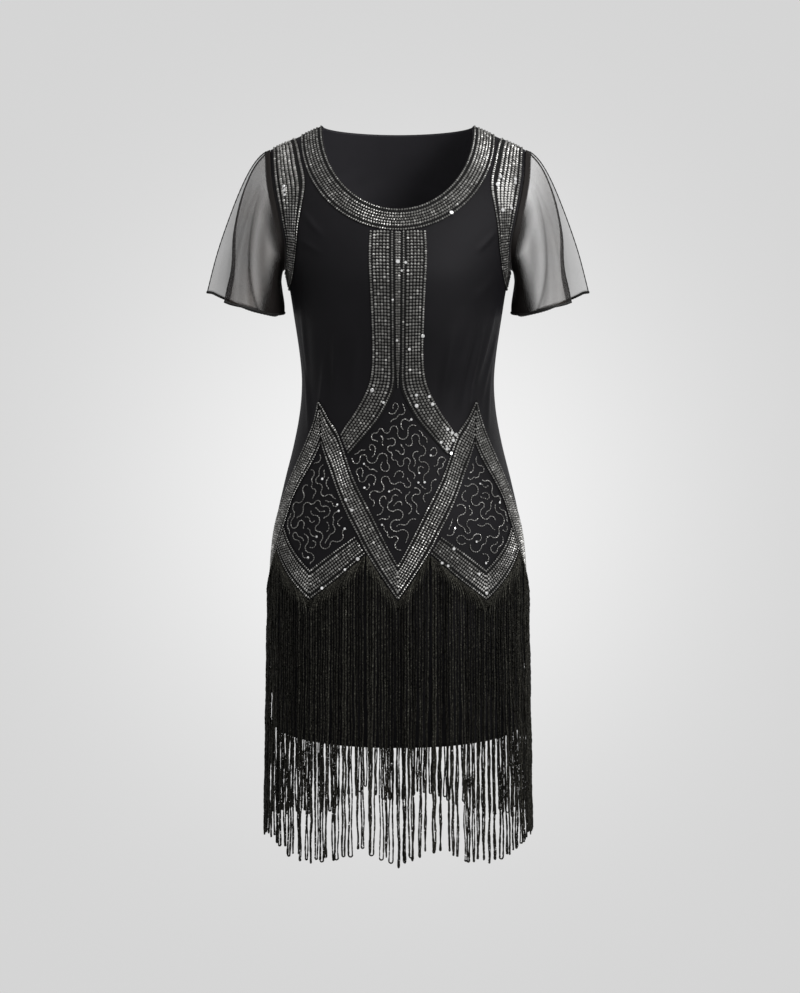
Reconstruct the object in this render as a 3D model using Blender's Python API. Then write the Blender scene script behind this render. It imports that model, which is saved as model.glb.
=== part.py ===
"""Beaded dress with long fringe, hollow and open, in the form that it has when worn.

The front faces -Y and +Z is up. The origin lies midway between the shoulders, level with the neck end of
the shoulder seams. A place on the cloth is given as an angle round the body, 0 at the centre front, 90 at
the wearer's left side and 180 at the centre back, with a height in metres.
"""
import math
from typing import NamedTuple

import bmesh
import bpy
from mathutils import Vector

NAME = "fringe_dress"

# Cloth and trim, in metres
CLOTH = 0.0014
MESH_CLOTH = 0.0010
BEADWORK = 0.0012
TRIM_LIFT = 0.0007
SEAM_GAP = 0.0003

# Shoulder and neck
NECK_HALF_WIDTH = 0.1008
NECK_DEPTH_FRONT = 0.1128
NECK_DEPTH_BACK = 0.008
NECK_BAND_WIDTH = 0.0285
NECK_BAND_INSET = 0.0006
SHOULDER_END = 0.172
SHOULDER_SLOPE = 0.46
SHOULDER_CREST = 0.03
ROLL_HEIGHT = 0.10
ROUNDNESS = 0.92

# Levels
UNDERARM = -0.192
HEM = -0.8255
HEM_RISE = 0.012
HEM_BACK_SHARE = 0.3

# Sleeves
SLEEVE_INNER = 0.160
SLEEVE_OUTER = 0.2575
SLEEVE_HALF_DEPTH = 0.072
SLEEVE_HEM_INNER = -0.256
SLEEVE_BACK_DROP = 0.0115
SLEEVE_HEM_OUTER = -0.222
SLEEVE_LAP = 0.0026
SLEEVE_WAVES = 5
SLEEVE_WAVE_RISE = 0.003
SLEEVE_WAVE_START = 0.35
SLEEVE_SEAT = Vector((0.0007, 0.0, 0.0))
SLEEVE_SEAT_UNDERARM = Vector((0.0006, 0.0, 0.0004))
SLEEVE_RISE_TOP = 0.032
SLEEVE_RISE_UNDERARM = 0.012
SLEEVE_FALL_TOP = 0.075
SLEEVE_FALL_UNDERARM = 0.015
SLEEVE_SPREAD = 0.35
SLEEVE_DROOP_TOP = 0.25
SLEEVE_DROOP_UNDERARM = 0.45
SLEEVE_HANG = Vector((0.22, 0.12, -0.97))
PETAL_START = 0.004
PETAL_CROWDING = 1.3
LAP_START = 0.15
LAP_DEPTH = 0.1

# Fringe
STRAND_PITCH = 0.0065
STRAND_WIDTH = 0.0024
HEADER_DROP = 0.0018
HEADER_HEIGHT = 0.010
FRINGE_KNEE = -0.622
FRINGE_STAND_OFF = 0.0028
FRINGE_FLARE = 0.0085
KNEE_DROP = 0.006
TIP_UNEVENNESS = 0.003
TIP_RHYTHM = 2.4
BACK_TIP_RISE = 0.004
CORNER_CLEARANCE = 0.3
ANGLE_STEP = 0.25

BLACK = (0.012, 0.012, 0.013, 1.0)
BEADS = (0.22, 0.22, 0.21, 1.0)
YARN = (0.016, 0.015, 0.013, 1.0)
NET = (0.05, 0.05, 0.05, 1.0)


class Station(NamedTuple):
    """Section of the worn dress at one height."""

    height: float
    half_width: float
    front: float
    back: float


STATIONS = (
    Station(0.010, 0.1820, 0.052, 0.052),
    Station(-0.030, 0.1810, 0.062, 0.068),
    Station(-0.080, 0.1815, 0.082, 0.088),
    Station(-0.130, 0.1750, 0.104, 0.100),
    Station(-0.170, 0.1600, 0.118, 0.103),
    Station(-0.205, 0.1495, 0.124, 0.101),
    Station(-0.260, 0.1405, 0.119, 0.093),
    Station(-0.310, 0.1335, 0.110, 0.084),
    Station(-0.345, 0.1312, 0.105, 0.079),
    Station(-0.385, 0.1342, 0.103, 0.078),
    Station(-0.430, 0.1428, 0.105, 0.085),
    Station(-0.480, 0.1555, 0.111, 0.100),
    Station(-0.535, 0.1678, 0.118, 0.115),
    Station(-0.590, 0.1745, 0.122, 0.124),
    Station(-0.650, 0.1765, 0.123, 0.126),
    Station(-0.740, 0.1755, 0.122, 0.123),
    Station(-0.830, 0.1735, 0.121, 0.119),
)


class EdgePoint(NamedTuple):
    """Point of the armhole: angle from the centre line, and height."""

    turn: float
    height: float


ARMHOLE = (
    EdgePoint(90.0, -0.1920),
    EdgePoint(80.0, -0.1880),
    EdgePoint(70.3, -0.1750),
    EdgePoint(62.8, -0.1500),
    EdgePoint(61.7, -0.1200),
    EdgePoint(64.2, -0.0926),
    EdgePoint(67.7, -0.0600),
    EdgePoint(69.6, -0.0400),
    EdgePoint(71.0, -0.0300),
)


class BandRow(NamedTuple):
    """Line across a beaded band, from its upper or outer edge to its lower or inner one."""

    upper_turn: float
    upper_height: float
    lower_turn: float
    lower_height: float


ARMHOLE_BAND = (
    BandRow(90.0, -0.1965, 90.0, -0.2200),
    BandRow(82.0, -0.1945, 77.0, -0.2150),
    BandRow(74.0, -0.1880, 66.0, -0.1990),
    BandRow(66.0, -0.1740, 56.0, -0.1710),
    BandRow(59.6, -0.1490, 48.5, -0.1420),
    BandRow(58.8, -0.1190, 42.8, -0.1060),
    BandRow(61.0, -0.0900, 40.4, -0.0760),
    BandRow(64.2, -0.0560, 43.4, -0.0460),
    BandRow(65.8, -0.0370, 46.0, -0.0250),
    BandRow(67.0, -0.0295, 48.5, -0.0165),
)
PLACKET = (
    BandRow(10.6, -0.1445, 0.9, -0.1465),
    BandRow(12.2, -0.1840, 1.0, -0.1840),
    BandRow(12.2, -0.2540, 1.0, -0.2540),
    BandRow(12.5, -0.3020, 1.0, -0.3020),
    BandRow(14.0, -0.3330, 1.0, -0.3400),
    BandRow(17.4, -0.3550, 3.6, -0.3620),
    BandRow(23.9, -0.3818, 9.0, -0.3870),
    BandRow(28.4, -0.3965, 17.1, -0.4118),
    BandRow(31.2, -0.4085, 24.9, -0.4350),
)
CENTRE_V = (
    BandRow(50.6, -0.3638, 44.3, -0.4219),
    BandRow(41.5, -0.3870, 38.2, -0.4450),
    BandRow(32.2, -0.4101, 33.2, -0.4643),
    BandRow(21.0, -0.4633, 25.0, -0.5016),
    BandRow(14.0, -0.4950, 17.0, -0.5376),
    BandRow(8.9, -0.5214, 12.4, -0.5623),
    BandRow(0.0, -0.5778, 0.0, -0.6249),
)
SIDE_ARM = (
    BandRow(51.0, -0.3640, 44.9, -0.4225),
    BandRow(56.0, -0.4019, 49.6, -0.4480),
    BandRow(67.2, -0.4587, 60.5, -0.4952),
    BandRow(75.5, -0.4985, 65.2, -0.5365),
    BandRow(82.5, -0.5320, 75.0, -0.5830),
    BandRow(90.0, -0.5640, 90.0, -0.6270),
)
LOW_V_OUTER_ARM = (
    BandRow(64.2, -0.5365, 70.6, -0.5680),
    BandRow(55.9, -0.5574, 58.6, -0.5934),
    BandRow(40.3, -0.5887, 40.1, -0.6291),
)
LOW_V_INNER_ARM = (
    BandRow(40.3, -0.5887, 40.1, -0.6291),
    BandRow(30.7, -0.5683, 25.1, -0.5968),
    BandRow(17.9, -0.5412, 12.9, -0.5635),
)
STRIP_HALF_TURN = 0.75
STRIP = (
    BandRow(-STRIP_HALF_TURN, -0.1470, STRIP_HALF_TURN, -0.1470),
    BandRow(-STRIP_HALF_TURN, -0.2000, STRIP_HALF_TURN, -0.2000),
    BandRow(-STRIP_HALF_TURN, -0.2600, STRIP_HALF_TURN, -0.2600),
    BandRow(-STRIP_HALF_TURN, -0.3360, STRIP_HALF_TURN, -0.3360),
)


class RootPoint(NamedTuple):
    """Corner of the zigzag from which the fringe hangs, and the height of the fringe's ends below it."""

    around: float
    height: float
    tip: float


VALLEY_GAP = 0.35
ROOTS_CENTRE_FRONT = (
    RootPoint(-12.4 + VALLEY_GAP, -0.5640, -0.961),
    RootPoint(0.0, -0.6260, -0.984),
    RootPoint(12.4 - VALLEY_GAP, -0.5640, -0.961),
)
ROOTS_LOW_V = (
    RootPoint(12.4 + VALLEY_GAP, -0.5650, -0.959),
    RootPoint(25.1, -0.5980, -0.977),
    RootPoint(40.1, -0.6302, -0.987),
    RootPoint(58.6, -0.5945, -0.976),
    RootPoint(70.6 - VALLEY_GAP, -0.5700, -0.965),
)
ROOTS_SIDE = (
    RootPoint(70.6 + VALLEY_GAP, -0.5700, -0.965),
    RootPoint(78.0, -0.5955, -0.969),
    RootPoint(90.0, -0.6290, -0.972),
    RootPoint(102.0, -0.5955, -0.967),
    RootPoint(109.4 - VALLEY_GAP, -0.5700, -0.962),
)


class Fold(NamedTuple):
    """Soft ridge in the cloth between two places, with its half width and height."""

    around: float
    height: float
    end_around: float
    end_height: float
    half_width: float
    rise: float


FOLDS = (
    Fold(38.0, -0.240, 30.0, -0.350, 0.017, 0.0026),
    Fold(56.0, -0.250, 47.0, -0.350, 0.016, 0.0022),
    Fold(-25.0, -0.235, -33.0, -0.350, 0.017, 0.0024),
    Fold(-50.0, -0.245, -58.0, -0.350, 0.016, 0.0022),
    Fold(150.0, -0.260, 162.0, -0.370, 0.018, 0.0024),
    Fold(-148.0, -0.270, -160.0, -0.365, 0.018, 0.0024),
    Fold(126.0, -0.250, 133.0, -0.360, 0.016, 0.0020),
    Fold(-128.0, -0.240, -134.0, -0.355, 0.016, 0.0020),
)
METRES_PER_DEGREE = 0.0023

FRONT = -1
BACK = 1
STEP = 0.01
SLEEVE_STEP = 0.004


class PetalEdge(NamedTuple):
    """Edge of a petal where the two overlap, as shares of the way round the sleeve."""

    start: float
    top: float
    hem: float
    power: float


PETAL_EDGES = {
    FRONT: PetalEdge(PETAL_START, 0.497, 0.342, 1.6),
    BACK: PetalEdge(1.0 - PETAL_START, 0.503, 0.47, 1.4),
}


def ramp(value):
    """Smooth step from 0 to 1 as a value goes from 0 to 1."""
    value = min(max(value, 0.0), 1.0)
    return value * value * (3.0 - 2.0 * value)


def signed_power(value, power):
    """Returns the power of a number's size, with the number's sign."""
    return math.copysign(abs(value) ** power, value)


def eased(height, column):
    """Reads one column of the stations at a height, along a smooth curve."""
    rows = STATIONS
    height = min(max(height, rows[-1].height), rows[0].height)
    k = 0
    while k < len(rows) - 2 and height < rows[k + 1].height:
        k += 1

    def slope(n):
        before, after = rows[max(n - 1, 0)], rows[min(n + 1, len(rows) - 1)]
        return (after[column] - before[column]) / (after.height - before.height)

    upper, lower = rows[k], rows[k + 1]
    span = lower.height - upper.height
    t = (height - upper.height) / span
    return ((2 * t ** 3 - 3 * t ** 2 + 1) * upper[column]
            + (t ** 3 - 2 * t ** 2 + t) * span * slope(k)
            + (3 * t ** 2 - 2 * t ** 3) * lower[column]
            + (t ** 3 - t ** 2) * span * slope(k + 1))


def half_width(height):
    """Half the dress's width at a height."""
    return eased(height, 1)


def depth(side, height):
    """How far the front or the back stands from the plane of the side seams."""
    return eased(height, 2 if side == FRONT else 3)


def shoulder_line(x):
    """Height of the shoulder at a distance from the centre."""
    def crest(distance):
        return math.hypot(distance, SHOULDER_CREST)
    return SHOULDER_SLOPE * (crest(NECK_HALF_WIDTH) - crest(x))


def roll_at(x, height):
    """Angle down the cloth from the shoulder line, at a distance from the centre and a height."""
    share = max((shoulder_line(x) - height) / ROLL_HEIGHT, 0.0)
    if share < 1.0:
        return math.acos(1.0 - share)
    return math.pi / 2 + share - 1.0


def turn_at(x, height):
    """Angle from the centre line at which the cloth is so far from the centre."""
    share = min(abs(x) / half_width(height), 1.0)
    return math.copysign(math.asin(share ** (1.0 / ROUNDNESS)), x)


def skin(side, turn, roll):
    """Point of the outer cloth before its folds, by angle from the centre line and from the shoulder."""
    fall = ROLL_HEIGHT * (1.0 - math.cos(roll))
    if roll > math.pi / 2:
        fall = ROLL_HEIGHT * (1.0 + roll - math.pi / 2)
    reach = math.sin(min(roll, math.pi / 2))
    height = -fall
    for _ in range(5):
        x = half_width(height) * signed_power(math.sin(turn), ROUNDNESS)
        height = shoulder_line(x) - fall
    y = side * depth(side, height) * signed_power(math.cos(turn), ROUNDNESS) * reach
    return Vector((x, y, height))


def outward(side, turn, roll):
    """Direction that faces away from the body at a place on the cloth."""
    across = skin(side, turn + STEP, roll) - skin(side, turn - STEP, roll)
    down = skin(side, turn, roll + STEP) - skin(side, turn, roll - STEP)
    return (across.cross(down) * side).normalized()


def relief(around, height):
    """Height of the folds at a place."""
    total = 0.0
    for fold in FOLDS:
        run = Vector(((fold.end_around - fold.around) * METRES_PER_DEGREE, fold.end_height - fold.height))
        here = Vector(((around - fold.around) * METRES_PER_DEGREE, height - fold.height))
        share = here.dot(run) / run.length_squared
        if 0.0 < share < 1.0:
            off = (here - run * share).length
            total += fold.rise * math.sin(math.pi * share) * math.exp(-(off / fold.half_width) ** 2)
    return total


def place(side, turn, roll, lift=0.0):
    """Point on the folded cloth, moved out by a lift, on its own side of the side and shoulder seams."""
    base = skin(side, turn, roll)
    around = math.degrees(turn if side == FRONT else math.copysign(math.pi, turn) - turn)
    point = base + outward(side, turn, roll) * (relief(around, base.z) + lift)
    point.y = side * (max(side * point.y, 0.0) + SEAM_GAP / 2)
    return point


def angles(turn_degrees, height):
    """Angles from the centre line and from the shoulder, of a place by degrees and height."""
    turn = math.radians(turn_degrees)
    x = half_width(height) * signed_power(math.sin(turn), ROUNDNESS)
    return turn, roll_at(x, height)


def on_panel(side, turn_degrees, height, lift=0.0):
    """Point on the front or the back by degrees from its centre line and height."""
    return place(side, *angles(turn_degrees, height), lift)


def on_cloth(around, height, lift=0.0):
    """Point on the cloth by degrees round the body and height."""
    if abs(around) <= 90.0:
        return on_panel(FRONT, around, height, lift)
    return on_panel(BACK, math.copysign(180.0, around) - around, height, lift)


def flow(rows, steps):
    """Adds rows between those of a table, along smooth curves through its columns."""
    last = len(rows) - 1
    flowed = []
    for k in range(last):
        before, here, there, after = rows[max(k - 1, 0)], rows[k], rows[k + 1], rows[min(k + 2, last)]
        for n in range(steps):
            t = n / steps
            flowed.append(tuple(
                b + 0.5 * t * (c - a + t * (2 * a - 5 * b + 4 * c - d + t * (3 * (b - c) + d - a)))
                for a, b, c, d in zip(before, here, there, after)))
    flowed.append(tuple(rows[last]))
    return flowed


def evenly(points, count):
    """Positions in a list of points, as index and share, that are equally far apart along it."""
    lengths = [0.0]
    for a, b in zip(points, points[1:]):
        lengths.append(lengths[-1] + (b - a).length)
    positions = []
    for step in range(count + 1):
        target = lengths[-1] * step / count
        k = max(n for n, length in enumerate(lengths[:-1]) if length <= target + 1e-9)
        positions.append(k + min((target - lengths[k]) / (lengths[k + 1] - lengths[k]), 1.0))
    return positions


def material(name, color, roughness, metallic=0.0):
    """Makes a plain material."""
    made = bpy.data.materials.new(name)
    made.use_nodes = True
    shader = made.node_tree.nodes["Principled BSDF"]
    shader.inputs["Base Color"].default_value = color
    shader.inputs["Roughness"].default_value = roughness
    shader.inputs["Metallic"].default_value = metallic
    return made


def add_object(name, bm, finish, collection):
    """Makes an object of a closed mesh, with its faces turned out."""
    bmesh.ops.recalc_face_normals(bm, faces=bm.faces)
    mesh = bpy.data.meshes.new(name)
    bm.to_mesh(mesh)
    bm.free()
    mesh.materials.append(finish)
    mesh.shade_smooth()
    mesh.set_sharp_from_angle(angle=math.radians(50))
    made = bpy.data.objects.new(name, mesh)
    collection.objects.link(made)
    return made


def wall(columns, rows, outer, inner):
    """Makes a wall of cloth from a grid.

    outer and inner give a place for a column and a row. Returns the mesh with its outer and inner points,
    each as a list of columns.
    """
    bm = bmesh.new()
    bmesh.ops.create_grid(bm, x_segments=columns, y_segments=rows, size=1.0)
    outside = [[None] * (rows + 1) for _ in range(columns + 1)]
    for vert in bm.verts:
        i = round((vert.co.x + 1.0) * columns / 2)
        j = round((vert.co.y + 1.0) * rows / 2)
        outside[i][j] = vert
    pulled = bmesh.ops.extrude_face_region(bm, geom=bm.faces[:], use_keep_orig=True)["geom"]
    inside = [[None] * (rows + 1) for _ in range(columns + 1)]
    for vert in (item for item in pulled if isinstance(item, bmesh.types.BMVert)):
        i = round((vert.co.x + 1.0) * columns / 2)
        j = round((vert.co.y + 1.0) * rows / 2)
        inside[i][j] = vert
    for i in range(columns + 1):
        for j in range(rows + 1):
            outside[i][j].co = outer(i, j)
            inside[i][j].co = inner(i, j)
    return bm, outside, inside


def neckline(side, share, inset):
    """Angle and roll of a point of the neckline, 0 at the centre and 1 at the shoulder, moved out."""
    drop = (NECK_DEPTH_FRONT if side == FRONT else NECK_DEPTH_BACK) + inset
    sweep = share * math.pi / 2
    x_end = NECK_HALF_WIDTH + inset
    top = shoulder_line(x_end)
    x = x_end * math.sin(sweep)
    height = top - (drop + top) * math.cos(sweep)
    return turn_at(x, height), roll_at(x, height)


def neck_shares(side, count):
    """Shares of the way along half the neckline, equally far apart."""
    fine = 80
    points = [skin(side, *neckline(side, k / fine, 0.0)) for k in range(fine + 1)]
    return [position / fine for position in evenly(points, count)]


ARMHOLE_CURVE = flow([angles(*point) for point in ARMHOLE], 12)
ARMHOLE_EVEN = evenly([skin(FRONT, *pair) for pair in ARMHOLE_CURVE], 60)


def armhole(share):
    """Angle and roll of a point of the armhole, 0 at the side seam and 1 at the shoulder."""
    step = min(max(share, 0.0), 1.0) * (len(ARMHOLE_EVEN) - 1)
    n = min(int(step), len(ARMHOLE_EVEN) - 2)
    position = ARMHOLE_EVEN[n] + (ARMHOLE_EVEN[n + 1] - ARMHOLE_EVEN[n]) * (step - n)
    k = min(int(position), len(ARMHOLE_CURVE) - 2)
    t = position - k
    return tuple(a + (b - a) * t for a, b in zip(ARMHOLE_CURVE[k], ARMHOLE_CURVE[k + 1]))


def panel_grid(side, half_columns, neck_columns, low_rows, high_rows):
    """Angles and rolls of a panel's points, as columns from its centre line to its side."""
    shares = neck_shares(side, neck_columns)
    start_turn, end_turn = neckline(side, 1.0, 0.0)[0], armhole(1.0)[0]

    def top(i):
        if i <= neck_columns:
            return neckline(side, shares[i], 0.0)
        share = (i - neck_columns) / (half_columns - neck_columns)
        return start_turn + (end_turn - start_turn) * share, 0.0

    grid = []
    for i in range(half_columns + 1):
        u = i / half_columns
        turn = u * math.pi / 2
        hem = HEM + HEM_RISE * (1.0 - math.cos(turn)) * (1.0 + HEM_BACK_SHARE * side)
        degrees = math.degrees(turn)
        column = [angles(degrees, hem + (UNDERARM - hem) * j / low_rows) for j in range(low_rows)]
        for j in range(high_rows + 1):
            v = j / high_rows
            low, high = angles(degrees, UNDERARM), top(i)
            edge = armhole(v)
            corner_low, corner_high = armhole(0.0), armhole(1.0)
            column.append(tuple(
                (1 - v) * low[n] + v * high[n]
                + u ** 3 * (edge[n] - (1 - v) * corner_low[n] - v * corner_high[n]) for n in (0, 1)))
        grid.append(column)
    return grid


def panel(side, half_columns, neck_columns, low_rows, high_rows):
    """Makes the front or the back, whole from shoulder to hem."""
    grid = panel_grid(side, half_columns, neck_columns, low_rows, high_rows)
    rows = low_rows + high_rows

    def at(i, j, lift):
        turn, roll = grid[abs(i - half_columns)][j]
        return place(side, math.copysign(turn, i - half_columns), max(roll, 0.0), lift)

    bm, _, _ = wall(2 * half_columns, rows, lambda i, j: at(i, j, 0.0), lambda i, j: at(i, j, -CLOTH))
    return bm


def row_angles(rows):
    """Turns a table of band rows into angles from the centre line and from the shoulder."""
    return [angles(row[0], row[1]) + angles(row[2], row[3]) for row in rows]


def band(side, rows, across=2):
    """Makes a beaded band over a panel from rows of the angles of its two edges."""
    def at(i, j, lift):
        share = j / across
        turn, roll = (p + (q - p) * share for p, q in zip(rows[i][:2], rows[i][2:]))
        return place(side, turn, roll, lift)

    bm, _, _ = wall(len(rows) - 1, across, lambda i, j: at(i, j, TRIM_LIFT + BEADWORK),
                    lambda i, j: at(i, j, TRIM_LIFT))
    return bm


def mirrored(rows):
    """Rows of the same band on the wearer's other side."""
    return [(-row[0], row[1], -row[2], row[3]) for row in rows]


def neck_band(side, stations):
    """Makes the band along the neckline of the front or the back."""
    across = 2
    half = stations // 2
    shares = neck_shares(side, half)

    def at(i, j, lift):
        inset = NECK_BAND_INSET + (NECK_BAND_WIDTH - NECK_BAND_INSET) * j / across
        turn, roll = neckline(side, shares[abs(i - half)], inset)
        return place(side, math.copysign(turn, i - half), roll, lift)

    bm, _, _ = wall(stations, across, lambda i, j: at(i, j, TRIM_LIFT + BEADWORK),
                    lambda i, j: at(i, j, TRIM_LIFT))
    return bm


def sleeve_ring(s):
    """Point of the armhole for a sleeve, 0 and 1 at the underarm, 0.5 at the shoulder, front first."""
    side = FRONT if s <= 0.5 else BACK
    share = 1.0 - abs(2.0 * s - 1.0)
    turn, roll = armhole(share)
    return skin(side, turn, roll)


def sleeve_base(s, t):
    """Point of a left sleeve, 0 to 1 round from the underarm, and 0 at the armhole to 1 at the hem."""
    sweep = 2.0 * math.pi * s
    low = (1.0 + math.cos(sweep)) / 2
    front = -math.sin(sweep)
    centre = (SLEEVE_OUTER + SLEEVE_INNER) / 2
    reach = (SLEEVE_OUTER - SLEEVE_INNER) / 2

    def mixed(top, underarm):
        return top + (underarm - top) * low

    start = sleeve_ring(s) + SLEEVE_SEAT + SLEEVE_SEAT_UNDERARM * low
    end = Vector((centre - reach * math.cos(sweep), SLEEVE_HALF_DEPTH * front,
                  mixed(SLEEVE_HEM_OUTER, SLEEVE_HEM_INNER) - SLEEVE_BACK_DROP * max(front, 0.0) ** 2))
    out = Vector((1.0, SLEEVE_SPREAD * front, -mixed(SLEEVE_DROOP_TOP, SLEEVE_DROOP_UNDERARM)))
    down = Vector((SLEEVE_HANG.x, SLEEVE_HANG.y * front, SLEEVE_HANG.z))
    one = start + out * mixed(SLEEVE_RISE_TOP, SLEEVE_RISE_UNDERARM)
    two = end - down * mixed(SLEEVE_FALL_TOP, SLEEVE_FALL_UNDERARM)
    return (start * (1 - t) ** 3 + one * 3 * t * (1 - t) ** 2 + two * 3 * t * t * (1 - t) + end * t ** 3)


def sleeve_point(hand, s, t, lift):
    """Point of a sleeve with its flutes, moved out by a lift; hand is 1 for the wearer's left."""
    around = sleeve_base(s + SLEEVE_STEP, t) - sleeve_base(s - SLEEVE_STEP, t)
    down = sleeve_base(s, min(t + SLEEVE_STEP, 1.0)) - sleeve_base(s, max(t - SLEEVE_STEP, 0.0))
    normal = around.cross(down).normalized()
    wave = SLEEVE_WAVE_RISE * t * t * math.cos(2 * math.pi * (SLEEVE_WAVES * s + SLEEVE_WAVE_START))
    point = sleeve_base(s, t) + normal * (wave + lift)
    return Vector((point.x * hand, point.y, point.z))


def petal(hand, side, columns, rows):
    """Makes the front or the back petal of a sleeve; the front one laps over the back one."""
    edge = PETAL_EDGES[side]

    def share(i, t):
        lap = edge.top + (edge.hem - edge.top) * t ** edge.power
        return edge.start + (lap - edge.start) * (1.0 - (1.0 - i / columns) ** PETAL_CROWDING)

    def lap_lift(s, t):
        if side == BACK:
            return 0.0
        return SLEEVE_LAP * ramp((s - LAP_START) / LAP_START) * ramp(t / LAP_DEPTH)

    def at(i, j, lift):
        t = j / rows
        s = share(i, t)
        return sleeve_point(hand, s, t, lap_lift(s, t) + lift)

    bm, _, _ = wall(columns, rows, lambda i, j: at(i, j, 0.0), lambda i, j: at(i, j, -MESH_CLOTH))
    return bm


def root_line(roots, around):
    """Height of the zigzag and of the fringe's ends at an angle round the body."""
    for a, b in zip(roots, roots[1:]):
        if around <= b.around:
            t = (around - a.around) / (b.around - a.around)
            return a.height + (b.height - a.height) * t, a.tip + (b.tip - a.tip) * t
    return roots[-1].height, roots[-1].tip


def strand_places(roots):
    """Angles of the strands of one section, a pitch apart along the hip."""
    start, end = roots[0].around, roots[-1].around
    count = int((end - start) / ANGLE_STEP)
    turns = [start + (end - start) * k / count for k in range(count + 1)]
    lengths = [0.0]
    for a, b in zip(turns, turns[1:]):
        lengths.append(lengths[-1] + (on_cloth(b, FRINGE_KNEE) - on_cloth(a, FRINGE_KNEE)).length)
    strands = round(lengths[-1] / STRAND_PITCH)
    places = []
    for k in range(strands):
        target = STRAND_WIDTH + (lengths[-1] - 2 * STRAND_WIDTH) * k / (strands - 1)
        n = max(i for i, length in enumerate(lengths[:-1]) if length <= target)
        share = (target - lengths[n]) / (lengths[n + 1] - lengths[n])
        half = STRAND_WIDTH / 2 * (turns[n + 1] - turns[n]) / (lengths[n + 1] - lengths[n])
        places.append((turns[n] + (turns[n + 1] - turns[n]) * share, half))
    return places


def grow_strand(bm, face, corners, stops):
    """Grows a strand from a face of its strip.

    corners holds the face's four points by key. Each stop holds the places of the same four further down.
    """
    for stop in stops:
        face = bmesh.ops.extrude_discrete_faces(bm, faces=[face])["faces"][0]
        grown = {min(corners, key=lambda key: (corners[key].co - vert.co).length): vert for vert in face.verts}
        for key, vert in grown.items():
            vert.co = stop[key]
        corners = grown


def fringe(roots):
    """Makes one section of fringe: a narrow backing strip with its strands hanging from it."""
    strands = strand_places(roots)
    edges = [angle + sign * half for angle, half in strands for sign in (-1, 1)]
    edges += [root.around for root in roots[1:-1]
              if all(abs(root.around - edge) > CORNER_CLEARANCE for edge in edges)
              and not any(angle - half < root.around < angle + half for angle, half in strands)]
    edges.sort()

    def at(i, j, lift):
        height = root_line(roots, edges[i])[0] - HEADER_DROP - HEADER_HEIGHT * (1 - j)
        return on_cloth(edges[i], height, lift)

    bm, outside, inside = wall(len(edges) - 1, 1, lambda i, j: at(i, j, TRIM_LIFT + BEADWORK),
                               lambda i, j: at(i, j, TRIM_LIFT))
    for number, (angle, half) in enumerate(strands):
        i = min(range(len(edges)), key=lambda k: abs(edges[k] - (angle - half)))
        corners = {(k, is_out): (outside if is_out else inside)[k][0] for k in (i, i + 1) for is_out in (True, False)}

        def stop(height, reference, stand_off):
            places = {}
            for k, is_out in corners:
                point = on_cloth(edges[k], reference, stand_off + (BEADWORK if is_out else 0.0))
                places[k, is_out] = Vector((point.x, point.y, height))
            return places

        face = bm.faces.get((outside[i][0], outside[i + 1][0], inside[i + 1][0], inside[i][0]))
        root, tip = root_line(roots, angle)
        knee = min(FRINGE_KNEE, root - HEADER_DROP - HEADER_HEIGHT - KNEE_DROP)
        tip += TIP_UNEVENNESS * math.sin(TIP_RHYTHM * number)
        grow_strand(bm, face, corners, (stop(knee, knee, FRINGE_STAND_OFF),
                                        stop(tip, FRINGE_KNEE, FRINGE_STAND_OFF + FRINGE_FLARE)))
    return bm


def turned_back(roots):
    """The same section at the back, mirrored front to back."""
    return tuple(RootPoint(180.0 - r.around, r.height, r.tip + BACK_TIP_RISE) for r in reversed(roots))


def other_hand(roots):
    """The same section on the wearer's other side."""
    return tuple(RootPoint(-r.around, r.height, r.tip) for r in reversed(roots))


def v_rows(half_rows, steps):
    """Rows of a V about the centre line from its half."""
    half = flow(row_angles(half_rows), steps)
    return half + [(-r[0], r[1], -r[2], r[3]) for r in reversed(half[:-1])]


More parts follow.
